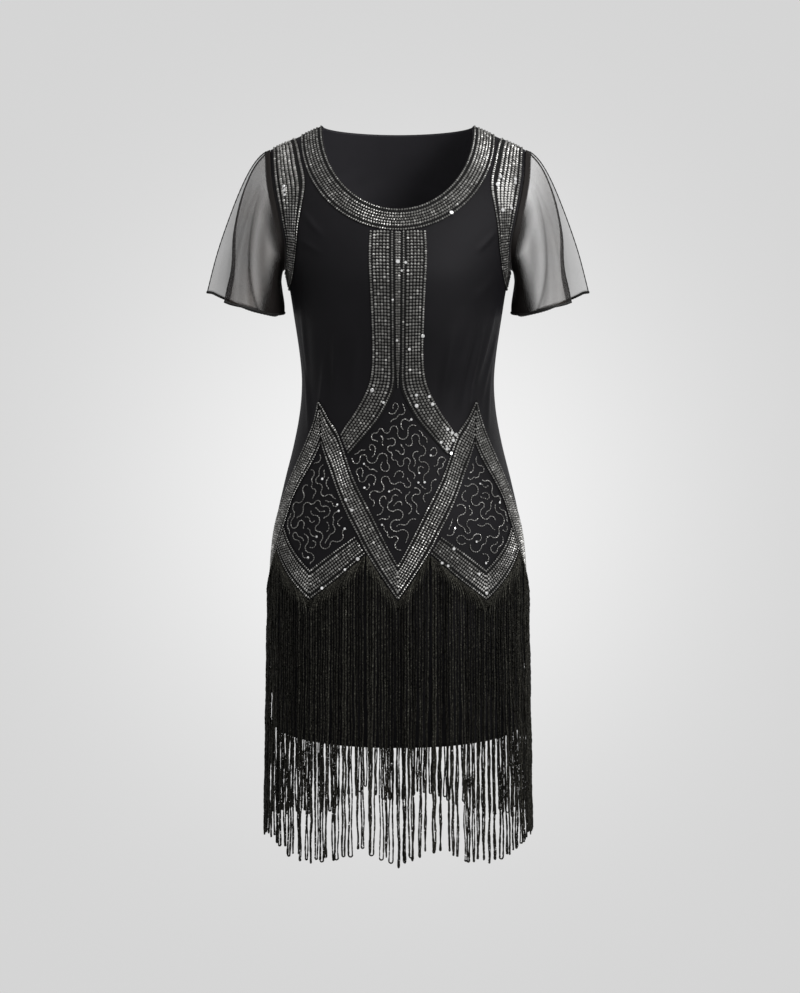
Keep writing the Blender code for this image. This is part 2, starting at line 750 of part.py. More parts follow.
def build():
    """Builds every piece."""
    for old in list(bpy.data.objects):
        bpy.data.objects.remove(old, do_unlink=True)
    collection = bpy.data.collections.new(NAME)
    bpy.context.scene.collection.children.link(collection)
    cloth = material("black_jersey", BLACK, 0.75)
    beads = material("beadwork", BEADS, 0.35, 0.4)
    yarn = material("fringe_yarn", YARN, 0.6)
    net = material("black_net", NET, 0.8)

    def add(name, bm, finish):
        add_object(name, bm, finish, collection)

    add("body_front", panel(FRONT, 12, 8, 19, 15), cloth)
    add("body_back", panel(BACK, 10, 6, 18, 11), cloth)
    for word, hand in (("left", 1), ("right", -1)):
        add(f"sleeve_{word}_front", petal(hand, FRONT, 11, 8), net)
        add(f"sleeve_{word}_back", petal(hand, BACK, 12, 8), net)

    for word, side, stations in (("front", FRONT, 36), ("back", BACK, 20)):
        add(f"neck_band_{word}", neck_band(side, stations), beads)
        add(f"centre_v_{word}", band(side, v_rows(CENTRE_V, 2)), beads)
        low_v = flow(row_angles(LOW_V_OUTER_ARM), 3) + flow(row_angles(LOW_V_INNER_ARM), 3)[1:]
        for hand_word, rows_for in (("left", list), ("right", mirrored)):
            add(f"armhole_band_{word}_{hand_word}", band(side, rows_for(flow(row_angles(ARMHOLE_BAND), 3))), beads)
            add(f"side_arm_{word}_{hand_word}", band(side, rows_for(flow(row_angles(SIDE_ARM), 3))), beads)
            add(f"low_v_{word}_{hand_word}", band(side, rows_for(low_v)), beads)
    add("placket_left", band(FRONT, flow(row_angles(PLACKET), 3)), beads)
    add("placket_right", band(FRONT, mirrored(flow(row_angles(PLACKET), 3))), beads)
    add("placket_strip", band(FRONT, flow(row_angles(STRIP), 4), across=1), beads)

    add("fringe_front_centre", fringe(ROOTS_CENTRE_FRONT), yarn)
    add("fringe_front_left", fringe(ROOTS_LOW_V), yarn)
    add("fringe_front_right", fringe(other_hand(ROOTS_LOW_V)), yarn)
    add("fringe_side_left", fringe(ROOTS_SIDE), yarn)
    add("fringe_side_right", fringe(other_hand(ROOTS_SIDE)), yarn)
    add("fringe_back_left", fringe(turned_back(ROOTS_LOW_V)), yarn)
    add("fringe_back_right", fringe(other_hand(turned_back(ROOTS_LOW_V))), yarn)
    add("fringe_back_centre", fringe(turned_back(ROOTS_CENTRE_FRONT)), yarn)


build()
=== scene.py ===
"""Looks of a beaded dress with long fringe, dressed over its packed construction.

The dress is hollow and keeps the form that it has when worn. Its front faces -Y and +Z is up. A place on the
cloth is an angle round the body, 0 at the centre front, 90 at the wearer's left side and 180 at the centre
back, with a height in metres.
"""
from __future__ import annotations

import logging
import math
from dataclasses import dataclass, field
from enum import Enum
from functools import cache
from typing import Any, NamedTuple, Sequence

import bmesh
import bpy
import numpy as np
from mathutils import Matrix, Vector

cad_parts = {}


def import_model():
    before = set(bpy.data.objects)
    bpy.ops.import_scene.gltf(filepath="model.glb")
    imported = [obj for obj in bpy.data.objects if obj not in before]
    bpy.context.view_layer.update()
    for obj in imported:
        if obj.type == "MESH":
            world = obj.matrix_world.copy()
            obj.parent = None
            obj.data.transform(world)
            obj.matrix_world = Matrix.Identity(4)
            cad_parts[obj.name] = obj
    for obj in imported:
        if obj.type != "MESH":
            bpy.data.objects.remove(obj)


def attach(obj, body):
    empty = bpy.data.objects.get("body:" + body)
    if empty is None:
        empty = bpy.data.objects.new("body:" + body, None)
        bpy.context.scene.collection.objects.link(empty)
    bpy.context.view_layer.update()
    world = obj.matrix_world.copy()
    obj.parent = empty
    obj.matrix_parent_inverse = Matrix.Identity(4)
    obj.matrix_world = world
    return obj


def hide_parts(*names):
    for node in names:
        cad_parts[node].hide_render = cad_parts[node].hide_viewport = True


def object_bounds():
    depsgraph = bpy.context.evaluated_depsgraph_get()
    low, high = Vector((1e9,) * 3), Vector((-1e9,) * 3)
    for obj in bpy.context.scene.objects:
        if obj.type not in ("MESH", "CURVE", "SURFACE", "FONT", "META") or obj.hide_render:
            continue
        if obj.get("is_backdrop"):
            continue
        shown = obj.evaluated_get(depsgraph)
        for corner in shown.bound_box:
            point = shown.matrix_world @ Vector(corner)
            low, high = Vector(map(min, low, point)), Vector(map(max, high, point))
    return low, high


log = logging.getLogger("fringe_dress")
Array = np.ndarray
Chance = np.random.Generator
Color = tuple[float, float, float]
Made = bpy.types.Object
Material = bpy.types.Material
METRES_PER_DEGREE = 0.0023
FULL_TURN = 2.0 * math.pi
VIEWPOINT = (0.0028, -2.4814, -0.1973)


class Side(Enum):
    """Front or back of the dress, as the sign of y."""

    FRONT = -1
    BACK = 1


class Hand(Enum):
    """Wearer's left or right, as the sign of x."""

    LEFT = 1
    RIGHT = -1


class BeadShape(Enum):
    """Kinds of bead sewn on the dress."""

    CUP = "cup"
    ROUND = "round"
    DISC = "disc"


# Shader expressions


class Socket:
    """Output of a shader node that takes part in Python arithmetic."""

    def __init__(self, shader: Shader, link: bpy.types.NodeSocket) -> None:
        """Keeps the output and the shader that it belongs to."""
        self.shader = shader
        self.link = link

    def _math(self, operation: str, *terms: Any) -> Socket:
        """Adds a Math node for one operation."""
        return self.shader.add("ShaderNodeMath", dict(enumerate(terms)), operation=operation)

    def __add__(self, other: Any) -> Socket:
        """Sum."""
        return self._math("ADD", self, other)

    def __radd__(self, other: Any) -> Socket:
        """Sum, the number first."""
        return self._math("ADD", other, self)

    def __sub__(self, other: Any) -> Socket:
        """Difference."""
        return self._math("SUBTRACT", self, other)

    def __rsub__(self, other: Any) -> Socket:
        """Difference, the number first."""
        return self._math("SUBTRACT", other, self)

    def __mul__(self, other: Any) -> Socket:
        """Product."""
        return self._math("MULTIPLY", self, other)

    def __rmul__(self, other: Any) -> Socket:
        """Product, the number first."""
        return self._math("MULTIPLY", other, self)

    def __pow__(self, other: Any) -> Socket:
        """Power."""
        return self._math("POWER", self, other)

    def __gt__(self, other: Any) -> Socket:
        """1 where it is greater, else 0."""
        return self._math("GREATER_THAN", self, other)

    def sine(self) -> Socket:
        """Sine."""
        return self._math("SINE", self)

    def exponential(self) -> Socket:
        """e to this power."""
        return self._math("EXPONENT", self)

    def at_least(self, low: float) -> Socket:
        """The greater of this and a number."""
        return self._math("MAXIMUM", self, low)

    def clamped(self) -> Socket:
        """Kept between 0 and 1."""
        return self.shader.add("ShaderNodeClamp", {0: self})

    def ramp(self, low: float, high: float) -> Socket:
        """Goes smoothly from 0 to 1 between two values."""
        sockets = {0: self, 1: low, 2: high}
        return self.shader.add("ShaderNodeMapRange", sockets, interpolation_type="SMOOTHSTEP")


class Shader:
    """Node tree of one material."""

    def __init__(self, name: str) -> None:
        """Makes a material with an empty node tree.

        Args:
            name: the material's name.
        """
        self.material = bpy.data.materials.new(name)
        self.material.use_nodes = True
        self.tree = self.material.node_tree
        self.tree.nodes.clear()

    def add(self, kind: str, sockets: dict[Any, Any], output: int | str = 0, **settings: Any) -> Socket:
        """Adds a node.

        Args:
            kind: Blender's name of the node type.
            sockets: values or links of the inputs, by index or name.
            output: the output that is wanted.
            settings: the node's own settings.

        Returns:
            The wanted output.
        """
        node = self.tree.nodes.new(kind)
        for key, value in settings.items():
            setattr(node, key, value)
        for key, value in sockets.items():
            if isinstance(value, Socket):
                self.tree.links.new(value.link, node.inputs[key])
            else:
                node.inputs[key].default_value = value
        return Socket(self, node.outputs[output])

    def place(self) -> Socket:
        """Object coordinates, in metres."""
        return self.add("ShaderNodeTexCoord", {}, "Object")

    def threads(self) -> list[Socket]:
        """Distances along the two threads of the cloth, in metres."""
        at = self.add("ShaderNodeUVMap", {}, uv_map="cloth")
        return [self.add("ShaderNodeSeparateXYZ", {0: at}, thread) for thread in (0, 1)]

    def tone(self) -> Socket:
        """The tone that each point of the mesh carries."""
        return self.add("ShaderNodeAttribute", {}, "Fac", attribute_name="tone")

    def noise(self, at: Socket, scale: float, detail: float = 2.0) -> Socket:
        """Noise of a size, from 0 to 1."""
        return self.add("ShaderNodeTexNoise", {"Vector": at, "Scale": scale, "Detail": detail})

    def blend(self, factor: Socket, one: Color, two: Color) -> Socket:
        """Colour between two colours."""
        return self.add("ShaderNodeMix", {0: factor, 6: (*one, 1.0), 7: (*two, 1.0)}, 2, data_type="RGBA")

    def vector(self, operation: str, one: Any, two: Any = (0.0, 0.0, 0.0), output: int | str = 0) -> Socket:
        """Vector Math of one or two vectors."""
        return self.add("ShaderNodeVectorMath", {0: one, 1: two}, output, operation=operation)

    def bump(self, height: Socket, distance: float, strength: float) -> Socket:
        """Normal of a raised pattern."""
        return self.add("ShaderNodeBump", {"Height": height, "Distance": distance, "Strength": strength})

    def surface(self, **sockets: Any) -> Material:
        """Ends the tree in a Principled surface.

        Args:
            sockets: inputs, with _ for each space in the name.

        Returns:
            The material.
        """
        named = {key.replace("_", " "): value for key, value in sockets.items()}
        return self.finished(self.add("ShaderNodeBsdfPrincipled", named))

    def finished(self, shade: Socket) -> Material:
        """Joins a shader to the material's surface."""
        out = self.tree.nodes.new("ShaderNodeOutputMaterial")
        self.tree.links.new(shade.link, out.inputs["Surface"])
        return self.material


# Finishes


@dataclass(frozen=True)
class Jersey:
    """Black stretch jersey: matt, with a soft sheen and fine knitted ribs."""

    name: str = "black_jersey"
    dark: Color = (0.0018, 0.0017, 0.0021)
    light: Color = (0.0074, 0.0069, 0.0086)
    sheen: float = 0.028
    rib: float = 0.0007
    stitch_per_rib: float = 1.3
    rib_share: float = 0.6
    painted_sheen_share: float = 0.7

    def material(self) -> Material:
        """Builds the material."""
        shader = Shader(self.name)
        across, up = shader.threads()
        rib = (across * (FULL_TURN / self.rib)).sine() * 0.5 + 0.5
        weft = up * (FULL_TURN / (self.rib * self.stitch_per_rib)) + (across * (math.pi / self.rib)).sine()
        knit = rib * self.rib_share + (weft.sine() * 0.5 + 0.5) * (1.0 - self.rib_share)
        # The noise cloud sets broad lighter and darker patches in the base colour: painted sheen, placed at
        # random. The same cloud also varies the roughness.
        cloud = shader.noise(shader.place(), scale=9.0, detail=3.0)
        level = cloud * self.painted_sheen_share + knit * (1.0 - self.painted_sheen_share)
        return shader.surface(
            Base_Color=shader.blend(level.ramp(0.25, 0.85), self.dark, self.light),
            Roughness=0.52 + cloud * 0.16, Specular_IOR_Level=0.22, Specular_Tint=(0.97, 0.95, 1.0, 1.0),
            Sheen_Weight=self.sheen, Sheen_Roughness=0.42, Sheen_Tint=(0.66, 0.62, 0.76, 1.0),
            Normal=shader.bump(knit, distance=0.00012, strength=0.5))


@dataclass(frozen=True)
class Net:
    """Sheer black net that lets most of the light through and is denser where it is gathered."""

    name: str
    cover: float
    mesh: float = 0.0017
    slant: float = 0.577
    thread_cover: float = 0.16
    cloud_cover: float = 0.09
    thinner: float = 0.08
    gathered: float = 0.97
    color: Color = (0.013, 0.0105, 0.0095)
    pale: Color = (0.085, 0.064, 0.050)

    def material(self) -> Material:
        """Builds the material."""
        shader = Shader(self.name)
        across, up = shader.threads()
        turn = FULL_TURN / self.mesh
        one = ((across + up * self.slant) * turn).sine()
        two = ((across - up * self.slant) * turn).sine()
        thread = (one * two * 0.5 + 0.5) ** 2.0
        cloud = shader.noise(shader.place(), scale=20.0, detail=3.0)
        sheer = (self.cover - self.thinner) + cloud * self.cloud_cover + thread * self.thread_cover
        density = shader.tone()
        cover = sheer + density * (self.gathered - sheer)
        shade = shader.blend((cloud * (1.0 - density)).ramp(0.2, 0.8), self.color, self.pale)
        return shader.surface(
            Base_Color=shade, Roughness=0.7, Alpha=cover.clamped(), Specular_IOR_Level=0.25,
            Normal=shader.bump(thread, distance=0.0001, strength=0.4))


@dataclass(frozen=True)
class RolledHem:
    """Black thread rolled round the edge of the net."""

    dark: Color = (0.006, 0.006, 0.006)
    light: Color = (0.035, 0.033, 0.03)

    def material(self) -> Material:
        """Builds the material."""
        shader = Shader("rolled_hem")
        grain = shader.noise(shader.place(), scale=900.0)
        return shader.surface(
            Base_Color=shader.blend(grain.ramp(0.4, 0.75), self.dark, self.light), Roughness=0.6,
            Specular_IOR_Level=0.4, Normal=shader.bump(grain, distance=0.0004, strength=0.7))


@dataclass(frozen=True)
class Tape:
    """Black net tape that the beads are sewn to."""

    thread: float = 0.0011
    dark: Color = (0.0025, 0.0025, 0.0025)
    light: Color = (0.007, 0.007, 0.007)

    def material(self) -> Material:
        """Builds the material."""
        shader = Shader("bead_tape")
        across, up = shader.threads()
        turn = FULL_TURN / self.thread
        weave = (across * turn).sine() * (up * turn).sine() * 0.5 + 0.5
        return shader.surface(
            Base_Color=shader.blend(weave, self.dark, self.light), Roughness=0.8, Specular_IOR_Level=0.25,
            Normal=shader.bump(weave, distance=0.0002, strength=0.6))


@dataclass(frozen=True)
class Glass:
    """Gunmetal glaze of the beads, each a little different, the palest of them the smoothest and whitest; the
    tone that sets this is partly random and partly painted highlight.
    """

    name: str = "gunmetal_beads"
    dark: Color = (0.145, 0.142, 0.134)
    light: Color = (0.92, 0.91, 0.88)
    roughness: float = 0.36
    power: float = 1.3
    metallic: float = 0.75

    def material(self) -> Material:
        """Builds the material."""
        shader = Shader(self.name)
        tone = shader.tone()
        cloud = shader.noise(shader.place(), scale=26.0)
        level = (tone ** self.power) * (0.7 + cloud * 0.6)
        return shader.surface(
            Base_Color=shader.blend(level.clamped(), self.dark, self.light), Specular_IOR_Level=0.6,
            Metallic=self.metallic - tone * tone * 0.55, Roughness=self.roughness - tone * tone * 0.16)


@dataclass(frozen=True)
class Yarn:
    """Black chainette yarn of the fringe: rough, twisted and full of tiny holes."""

    dark: Color = (0.0016, 0.0014, 0.0010)
    light: Color = (0.172, 0.168, 0.138)
    solid: float = 0.612

    def material(self) -> Material:
        """Builds the material."""
        shader = Shader("fringe_yarn")
        at = shader.place()
        grain = shader.noise(at, scale=620.0)
        cloud = shader.noise(at, scale=30.0)
        hole = shader.noise(at, scale=470.0, detail=1.0)
        tone = shader.tone()
        # The tiny light specks are painted glints of light on the yarn, stronger on lighter yarns.
        glint_speck = grain.ramp(0.52, 0.76) * (0.15 + tone * 0.85) * (0.3 + cloud * 1.2)
        level = tone * tone * 0.15 + glint_speck * 0.95
        return shader.surface(
            Base_Color=shader.blend(level.clamped(), self.dark, self.light), Roughness=0.55,
            Specular_IOR_Level=0.22, Specular_Tint=(1.0, 0.97, 0.88, 1.0), Alpha=1.0 - (hole > self.solid),
            Normal=shader.bump(grain, distance=0.0006, strength=0.8))


@dataclass(frozen=True)
class Backdrop:
    """Pale studio paper that glows by itself, with a painted pool of light where it is lightest, in the
    direction behind the dress as seen from in front of it.
    """

    level: float = 0.6628
    glow: float = 0.2528
    spread: float = 0.1573
    towards: Color = (0.0, 0.99231, -0.12378)
    steepest: float = 0.02

    def material(self) -> Material:
        """Builds the material."""
        shader = Shader("studio_paper")
        ray = shader.vector("NORMALIZE", shader.vector("SUBTRACT", shader.place(), VIEWPOINT))
        facing = shader.vector("DOT_PRODUCT", ray, self.towards, "Value")
        off = (facing * facing).at_least(self.steepest) ** -1.0 - 1.0
        # Painted pool of light: the glow is added round the direction behind the dress.
        level = self.level + self.glow * (off * (-1.0 / self.spread ** 2)).exponential()
        color = shader.add("ShaderNodeCombineColor", {0: level, 1: level, 2: level})
        return shader.finished(shader.add("ShaderNodeEmission", {"Color": color, "Strength": 1.0}))


# Form of the worn dress


def table_of(kind: Any, *rows: tuple[float, ...]) -> tuple[Any, ...]:
    """Rows of a table, each made into its kind of row."""
    return tuple(kind(*row) for row in rows)


class Station(NamedTuple):
    """Section of the worn dress at one height."""

    height: float
    half_width: float
    front: float
    back: float


STATIONS = table_of(
    Station, (0.01, 0.182, 0.052, 0.052), (-0.03, 0.181, 0.062, 0.068), (-0.08, 0.1815, 0.082, 0.088),
    (-0.13, 0.175, 0.104, 0.1), (-0.17, 0.16, 0.118, 0.103), (-0.205, 0.1495, 0.124, 0.101),
    (-0.26, 0.1405, 0.119, 0.093), (-0.31, 0.1335, 0.11, 0.084), (-0.345, 0.1312, 0.105, 0.079),
    (-0.385, 0.1342, 0.103, 0.078), (-0.43, 0.1428, 0.105, 0.085), (-0.48, 0.1555, 0.111, 0.1),
    (-0.535, 0.1678, 0.118, 0.115), (-0.59, 0.1745, 0.122, 0.124), (-0.65, 0.1765, 0.123, 0.126),
    (-0.74, 0.1755, 0.122, 0.123), (-0.83, 0.1735, 0.121, 0.119))


class Fold(NamedTuple):
    """Soft ridge in the cloth between two places, or a trough where its rise is negative."""

    around: float
    height: float
    end_around: float
    end_height: float
    half_width: float
    rise: float


FOLDS = table_of(
    Fold, (38.0, -0.24, 30.0, -0.35, 0.017, 0.0026), (56.0, -0.25, 47.0, -0.35, 0.016, 0.0022),
    (-25.0, -0.235, -33.0, -0.35, 0.017, 0.0024), (-50.0, -0.245, -58.0, -0.35, 0.016, 0.0022),
    (150.0, -0.26, 162.0, -0.37, 0.018, 0.0024), (-148.0, -0.27, -160.0, -0.365, 0.018, 0.0024),
    (126.0, -0.25, 133.0, -0.36, 0.016, 0.002), (-128.0, -0.24, -134.0, -0.355, 0.016, 0.002))
CREASES = table_of(
    Fold, (30.0, -0.262, 24.0, -0.372, 0.0055, 0.003), (45.0, -0.25, 33.0, -0.38, 0.0055, 0.0036),
    (52.0, -0.262, 41.0, -0.392, 0.005, 0.003), (66.0, -0.232, 50.0, -0.345, 0.0065, 0.0032),
    (78.0, -0.25, 56.0, -0.372, 0.005, 0.0028), (74.0, -0.3, 60.0, -0.41, 0.0065, 0.0026),
    (57.0, -0.205, 40.0, -0.232, 0.005, 0.0016), (48.0, -0.14, 38.0, -0.17, 0.0045, 0.0016),
    (-20.0, -0.27, -27.0, -0.362, 0.0055, 0.0024), (-33.0, -0.262, -40.0, -0.375, 0.0055, 0.003),
    (-44.0, -0.3, -52.0, -0.392, 0.005, 0.0028), (-62.0, -0.235, -66.0, -0.345, 0.0065, 0.003),
    (-74.0, -0.3, -58.0, -0.415, 0.006, 0.0028), (-44.0, -0.112, -33.0, -0.152, 0.0045, 0.0018),
    (-50.0, -0.15, -36.0, -0.172, 0.0045, 0.0016), (139.0, -0.25, 150.0, -0.36, 0.0055, 0.003),
    (-138.0, -0.255, -150.0, -0.372, 0.0055, 0.0032), (165.0, -0.29, 172.0, -0.38, 0.0055, 0.0024),
    (-166.0, -0.285, -172.0, -0.372, 0.0055, 0.0022), (112.0, -0.235, 122.0, -0.355, 0.006, 0.003),
    (-113.0, -0.24, -124.0, -0.35, 0.006, 0.0028), (176.0, -0.04, 130.0, -0.12, 0.009, -0.0016),
    (-176.0, -0.04, -130.0, -0.12, 0.009, -0.0016))


def ramp(value: Array | float) -> Array:
    """Smooth step from 0 to 1 as a value goes from 0 to 1."""
    value = np.clip(value, 0.0, 1.0)
    return value * value * (3.0 - 2.0 * value)


def signed_power(value: Array, power: float) -> Array:
    """Power of the size of numbers, with their signs."""
    return np.copysign(np.abs(value) ** power, value)


def unit(vectors: Array) -> Array:
    """Vectors of length 1."""
    return vectors / np.maximum(np.linalg.norm(vectors, axis=-1, keepdims=True), 1e-12)


def flow(rows: Array, steps: int) -> Array:
    """Adds rows between those of a table, along smooth curves through its columns.

    Args:
        rows: the table.
        steps: steps for each of its intervals.

    Returns:
        The longer table.
    """
    rows = np.asarray(rows, float)
    last = len(rows) - 1
    flowed = []
    for k in range(last):
        a, b, c, d = rows[max(k - 1, 0)], rows[k], rows[k + 1], rows[min(k + 2, last)]
        for n in range(steps):
            t = n / steps
            flowed.append(b + 0.5 * t * (c - a + t * (2 * a - 5 * b + 4 * c - d + t * (3 * (b - c) + d - a))))
    flowed.append(rows[last])
    return np.array(flowed)


def lengths_along(points: Array) -> Array:
    """Distance from the first point of a line to each of its points."""
    return np.concatenate([[0.0], np.cumsum(np.linalg.norm(np.diff(points, axis=0), axis=1))])


def resampled(values: Array, along: Array, wanted: Array) -> Array:
    """Values of a line's columns at other distances along it."""
    return np.stack([np.interp(wanted, along, column) for column in values.T], axis=1)


@dataclass(frozen=True)
class WornForm:
    """Surface of the dress as worn, the same as in its construction.

    A side is -1 for the front and 1 for the back. A turn is an angle from its centre line, and a roll an
    angle down from the shoulder line.
    """

    neck_half_width: float = 0.1008
    neck_depth_front: float = 0.1128
    neck_depth_back: float = 0.008
    shoulder_slope: float = 0.46
    shoulder_crest: float = 0.03
    roll_height: float = 0.10
    roundness: float = 0.92
    seam_gap: float = 0.0003
    underarm: float = -0.192
    hem: float = -0.8255
    hem_rise: float = 0.012
    hem_back_share: float = 0.3
    step: float = 0.01
    rounds: int = 5
    crease_top: float = -0.02
    crease_ease: float = 0.06
    neck_steps: int = 161

    def eased(self, height: Array, column: int) -> Array:
        """One column of the stations at heights, along a smooth curve."""
        table = np.array(STATIONS)
        level, value = table[:, 0], table[:, column]
        height = np.clip(height, level[-1], level[0])
        k = np.clip(np.searchsorted(-level, -height, side="right") - 1, 0, len(level) - 2)
        before = np.maximum(np.arange(len(level)) - 1, 0)
        after = np.minimum(np.arange(len(level)) + 1, len(level) - 1)
        slope = (value[after] - value[before]) / (level[after] - level[before])
        span = level[k + 1] - level[k]
        t = (height - level[k]) / span
        return ((2 * t ** 3 - 3 * t ** 2 + 1) * value[k] + (t ** 3 - 2 * t ** 2 + t) * span * slope[k]
                + (3 * t ** 2 - 2 * t ** 3) * value[k + 1] + (t ** 3 - t ** 2) * span * slope[k + 1])

    def depth(self, side: Array, height: Array) -> Array:
        """How far the front or the back stands from the plane of the side seams."""
        return np.where(np.asarray(side) < 0, self.eased(height, 2), self.eased(height, 3))

    def shoulder_line(self, x: Array | float) -> Array:
        """Height of the shoulder at a distance from the centre."""
        return self.shoulder_slope * (math.hypot(self.neck_half_width, self.shoulder_crest)
                                      - np.hypot(x, self.shoulder_crest))

    def roll_at(self, x: Array, height: Array) -> Array:
        """Angle down the cloth from the shoulder line, at a distance from the centre and a height."""
        share = np.maximum((self.shoulder_line(x) - height) / self.roll_height, 0.0)
        return np.where(share < 1.0, np.arccos(1.0 - np.minimum(share, 1.0)), math.pi / 2 + share - 1.0)

    def turn_at(self, x: Array, height: Array) -> Array:
        """Angle from the centre line at which the cloth is so far from the centre."""
        share = np.minimum(np.abs(x) / self.eased(height, 1), 1.0)
        return np.copysign(np.arcsin(share ** (1.0 / self.roundness)), x)

    def skin(self, side: Array, turn: Array, roll: Array) -> Array:
        """Points of the outer cloth before its folds."""
        fall = np.where(roll > math.pi / 2, self.roll_height * (1.0 + roll - math.pi / 2),
                        self.roll_height * (1.0 - np.cos(roll)))
        reach = np.sin(np.minimum(roll, math.pi / 2))
        height = -fall
        for _ in range(self.rounds):
            x = self.eased(height, 1) * signed_power(np.sin(turn), self.roundness)
            height = self.shoulder_line(x) - fall
        y = side * self.depth(side, height) * signed_power(np.cos(turn), self.roundness) * reach
        return np.stack(np.broadcast_arrays(x, y, height), axis=-1)

    def outward(self, side: Array, turn: Array, roll: Array) -> Array:
        """Directions that face away from the body."""
        across = self.skin(side, turn + self.step, roll) - self.skin(side, turn - self.step, roll)
        down = self.skin(side, turn, roll + self.step) - self.skin(side, turn, roll - self.step)
        facing = np.cross(across, down) * np.asarray(side)[..., None]
        return facing / np.linalg.norm(facing, axis=-1, keepdims=True)

    def relief(self, around: Array, height: Array, folds: Sequence[Fold]) -> Array:
        """Height of folds at places."""
        total = np.zeros(np.broadcast(around, height).shape)
        for fold in folds:
            across = (fold.end_around - fold.around) * METRES_PER_DEGREE
            run = np.array([across, fold.end_height - fold.height])
            off_around = (around - fold.around) * METRES_PER_DEGREE
            here = np.stack(np.broadcast_arrays(off_around, height - fold.height), -1)
            share = here @ run / (run @ run)
            off = np.linalg.norm(here - share[..., None] * run, axis=-1)
            ridge = fold.rise * np.sin(math.pi * share) * np.exp(-(off / fold.half_width) ** 2)
            total += np.where((share > 0.0) & (share < 1.0), ridge, 0.0)
        return total

    def place(self, side: Array | int, turn: Array, roll: Array, lift: Array | float = 0.0) -> Array:
        """Points on the folded cloth, moved out by a lift.

        Args:
            side: -1 for the front and 1 for the back.
            turn: angle from the centre line.
            roll: angle down from the shoulder line.
            lift: distance out from the cloth.

        Returns:
            Points, on their own side of the side and shoulder seams.
        """
        side, turn, roll = np.broadcast_arrays(np.asarray(side), turn, np.maximum(roll, 0.0))
        base = self.skin(side, turn, roll)
        around = np.degrees(np.where(side < 0, turn, np.copysign(math.pi, turn) - turn))
        height = base[..., 2]
        fine = self.relief(around, height, CREASES) * ramp((self.crease_top - height) / self.crease_ease)
        out = self.relief(around, height, FOLDS) + fine + lift
        points = base + self.outward(side, turn, roll) * out[..., None]
        points[..., 1] = side * (np.maximum(side * points[..., 1], 0.0) + self.seam_gap / 2)
        return points

    def angles(self, degrees: Array, height: Array) -> tuple[Array, Array]:
        """Angles from the centre line and from the shoulder line, of places on one side.

        Args:
            degrees: degrees from that side's centre line.
            height: heights of the places.

        Returns:
            The two angles.
        """
        turn = np.radians(degrees)
        x = self.eased(height, 1) * signed_power(np.sin(turn), self.roundness)
        return turn, self.roll_at(x, height)

    def spots(self, around: Array, height: Array) -> tuple[Array, Array, Array]:
        """Side, turn and roll of places by degrees round the body and height."""
        around, height = np.broadcast_arrays(np.asarray(around, float), np.asarray(height, float))
        front = np.abs(around) <= 90.0
        degrees = np.where(front, around, np.copysign(180.0, around) - around)
        return np.where(front, -1, 1), *self.angles(degrees, height)

    def on_cloth(self, around: Array, height: Array, lift: Array | float = 0.0) -> Array:
        """Points on the cloth by degrees round the body and height."""
        return self.place(*self.spots(around, height), lift)

    def facing(self, around: Array, height: Array) -> Array:
        """Directions away from the body by degrees round it and height."""
        return self.outward(*self.spots(around, height))

    def neckline(self, side: Side, share: Array, inset: float) -> Array:
        """Points along half the neckline, moved out.

        Args:
            side: front or back.
            share: 0 at the centre and 1 at the shoulder.
            inset: how far they are moved out from the edge.

        Returns:
            Angle and roll of each.
        """
        drop = (self.neck_depth_front if side is Side.FRONT else self.neck_depth_back) + inset
        sweep = np.asarray(share) * math.pi / 2
        x_end = self.neck_half_width + inset
        top = self.shoulder_line(x_end)
        x = x_end * np.sin(sweep)
        height = top - (drop + top) * np.cos(sweep)
        return np.stack([self.turn_at(x, height), self.roll_at(x, height)], axis=-1)

    def even_shares(self, side: Side, count: int) -> Array:
        """Shares of the way along half the neckline, equally far apart.

        Args:
            side: front or back.
            count: how many steps they make.

        Returns:
            The shares.
        """
        shares = np.linspace(0.0, 1.0, self.neck_steps)
        pairs = self.neckline(side, shares, 0.0)
        along = lengths_along(self.skin(np.full(self.neck_steps, side.value), *pairs.T))
        return np.interp(np.linspace(0.0, along[-1], count + 1), along, shares)


FORM = WornForm()


class EdgePoint(NamedTuple):
    """Point of the armhole: angle from the centre line, and height."""

    turn: float
    height: float


ARMHOLE = table_of(
    EdgePoint, (90.0, -0.192), (80.0, -0.188), (70.3, -0.175), (62.8, -0.15), (61.7, -0.12), (64.2, -0.0926),
    (67.7, -0.06), (69.6, -0.04), (71.0, -0.03))
ARMHOLE_STEPS = 120


@cache
def armhole_pairs() -> Array:
    """Angles and rolls along the armhole, equally far apart, from the underarm to the shoulder.

    Returns:
        A row for each point.
    """
    table = np.array(ARMHOLE)
    curve = flow(np.stack(FORM.angles(table[:, 0], table[:, 1]), axis=1), 12)
    along = lengths_along(FORM.skin(np.full(len(curve), Side.FRONT.value), curve[:, 0], curve[:, 1]))
    return resampled(curve, along, np.linspace(0.0, along[-1], ARMHOLE_STEPS + 1))


def armhole(share: Array) -> Array:
    """Angle and roll of points of the armhole, 0 at the side seam and 1 at the shoulder."""
    spots = np.linspace(0.0, 1.0, ARMHOLE_STEPS + 1)
    return np.stack([np.interp(share, spots, column) for column in armhole_pairs().T], axis=-1)


# Meshes


@dataclass
class Pattern:
    """Small mesh that is repeated, as points and faces."""

    points: Array
    faces: list[tuple[int, ...]]

    @classmethod
    def of(cls, bm: bmesh.types.BMesh) -> Pattern:
        """Takes the points and faces of a bmesh, and frees it."""
        bm.verts.index_update()
        pattern = cls(np.array([vert.co[:] for vert in bm.verts]),
                      [tuple(vert.index for vert in face.verts) for face in bm.faces])
        bm.free()
        return pattern


class Wall(NamedTuple):
    """Closed wall of cloth: points, faces, column and row of each point, which are inside, and thread map."""

    points: Array
    faces: list[tuple[int, ...]]
    spots: Array
    inside: Array
    cloth_map: Array

    def inner_faces(self) -> Array:
        """1 for each face of the inner side, else 0."""
        return np.array([int(all(self.inside[n] for n in face)) for face in self.faces])


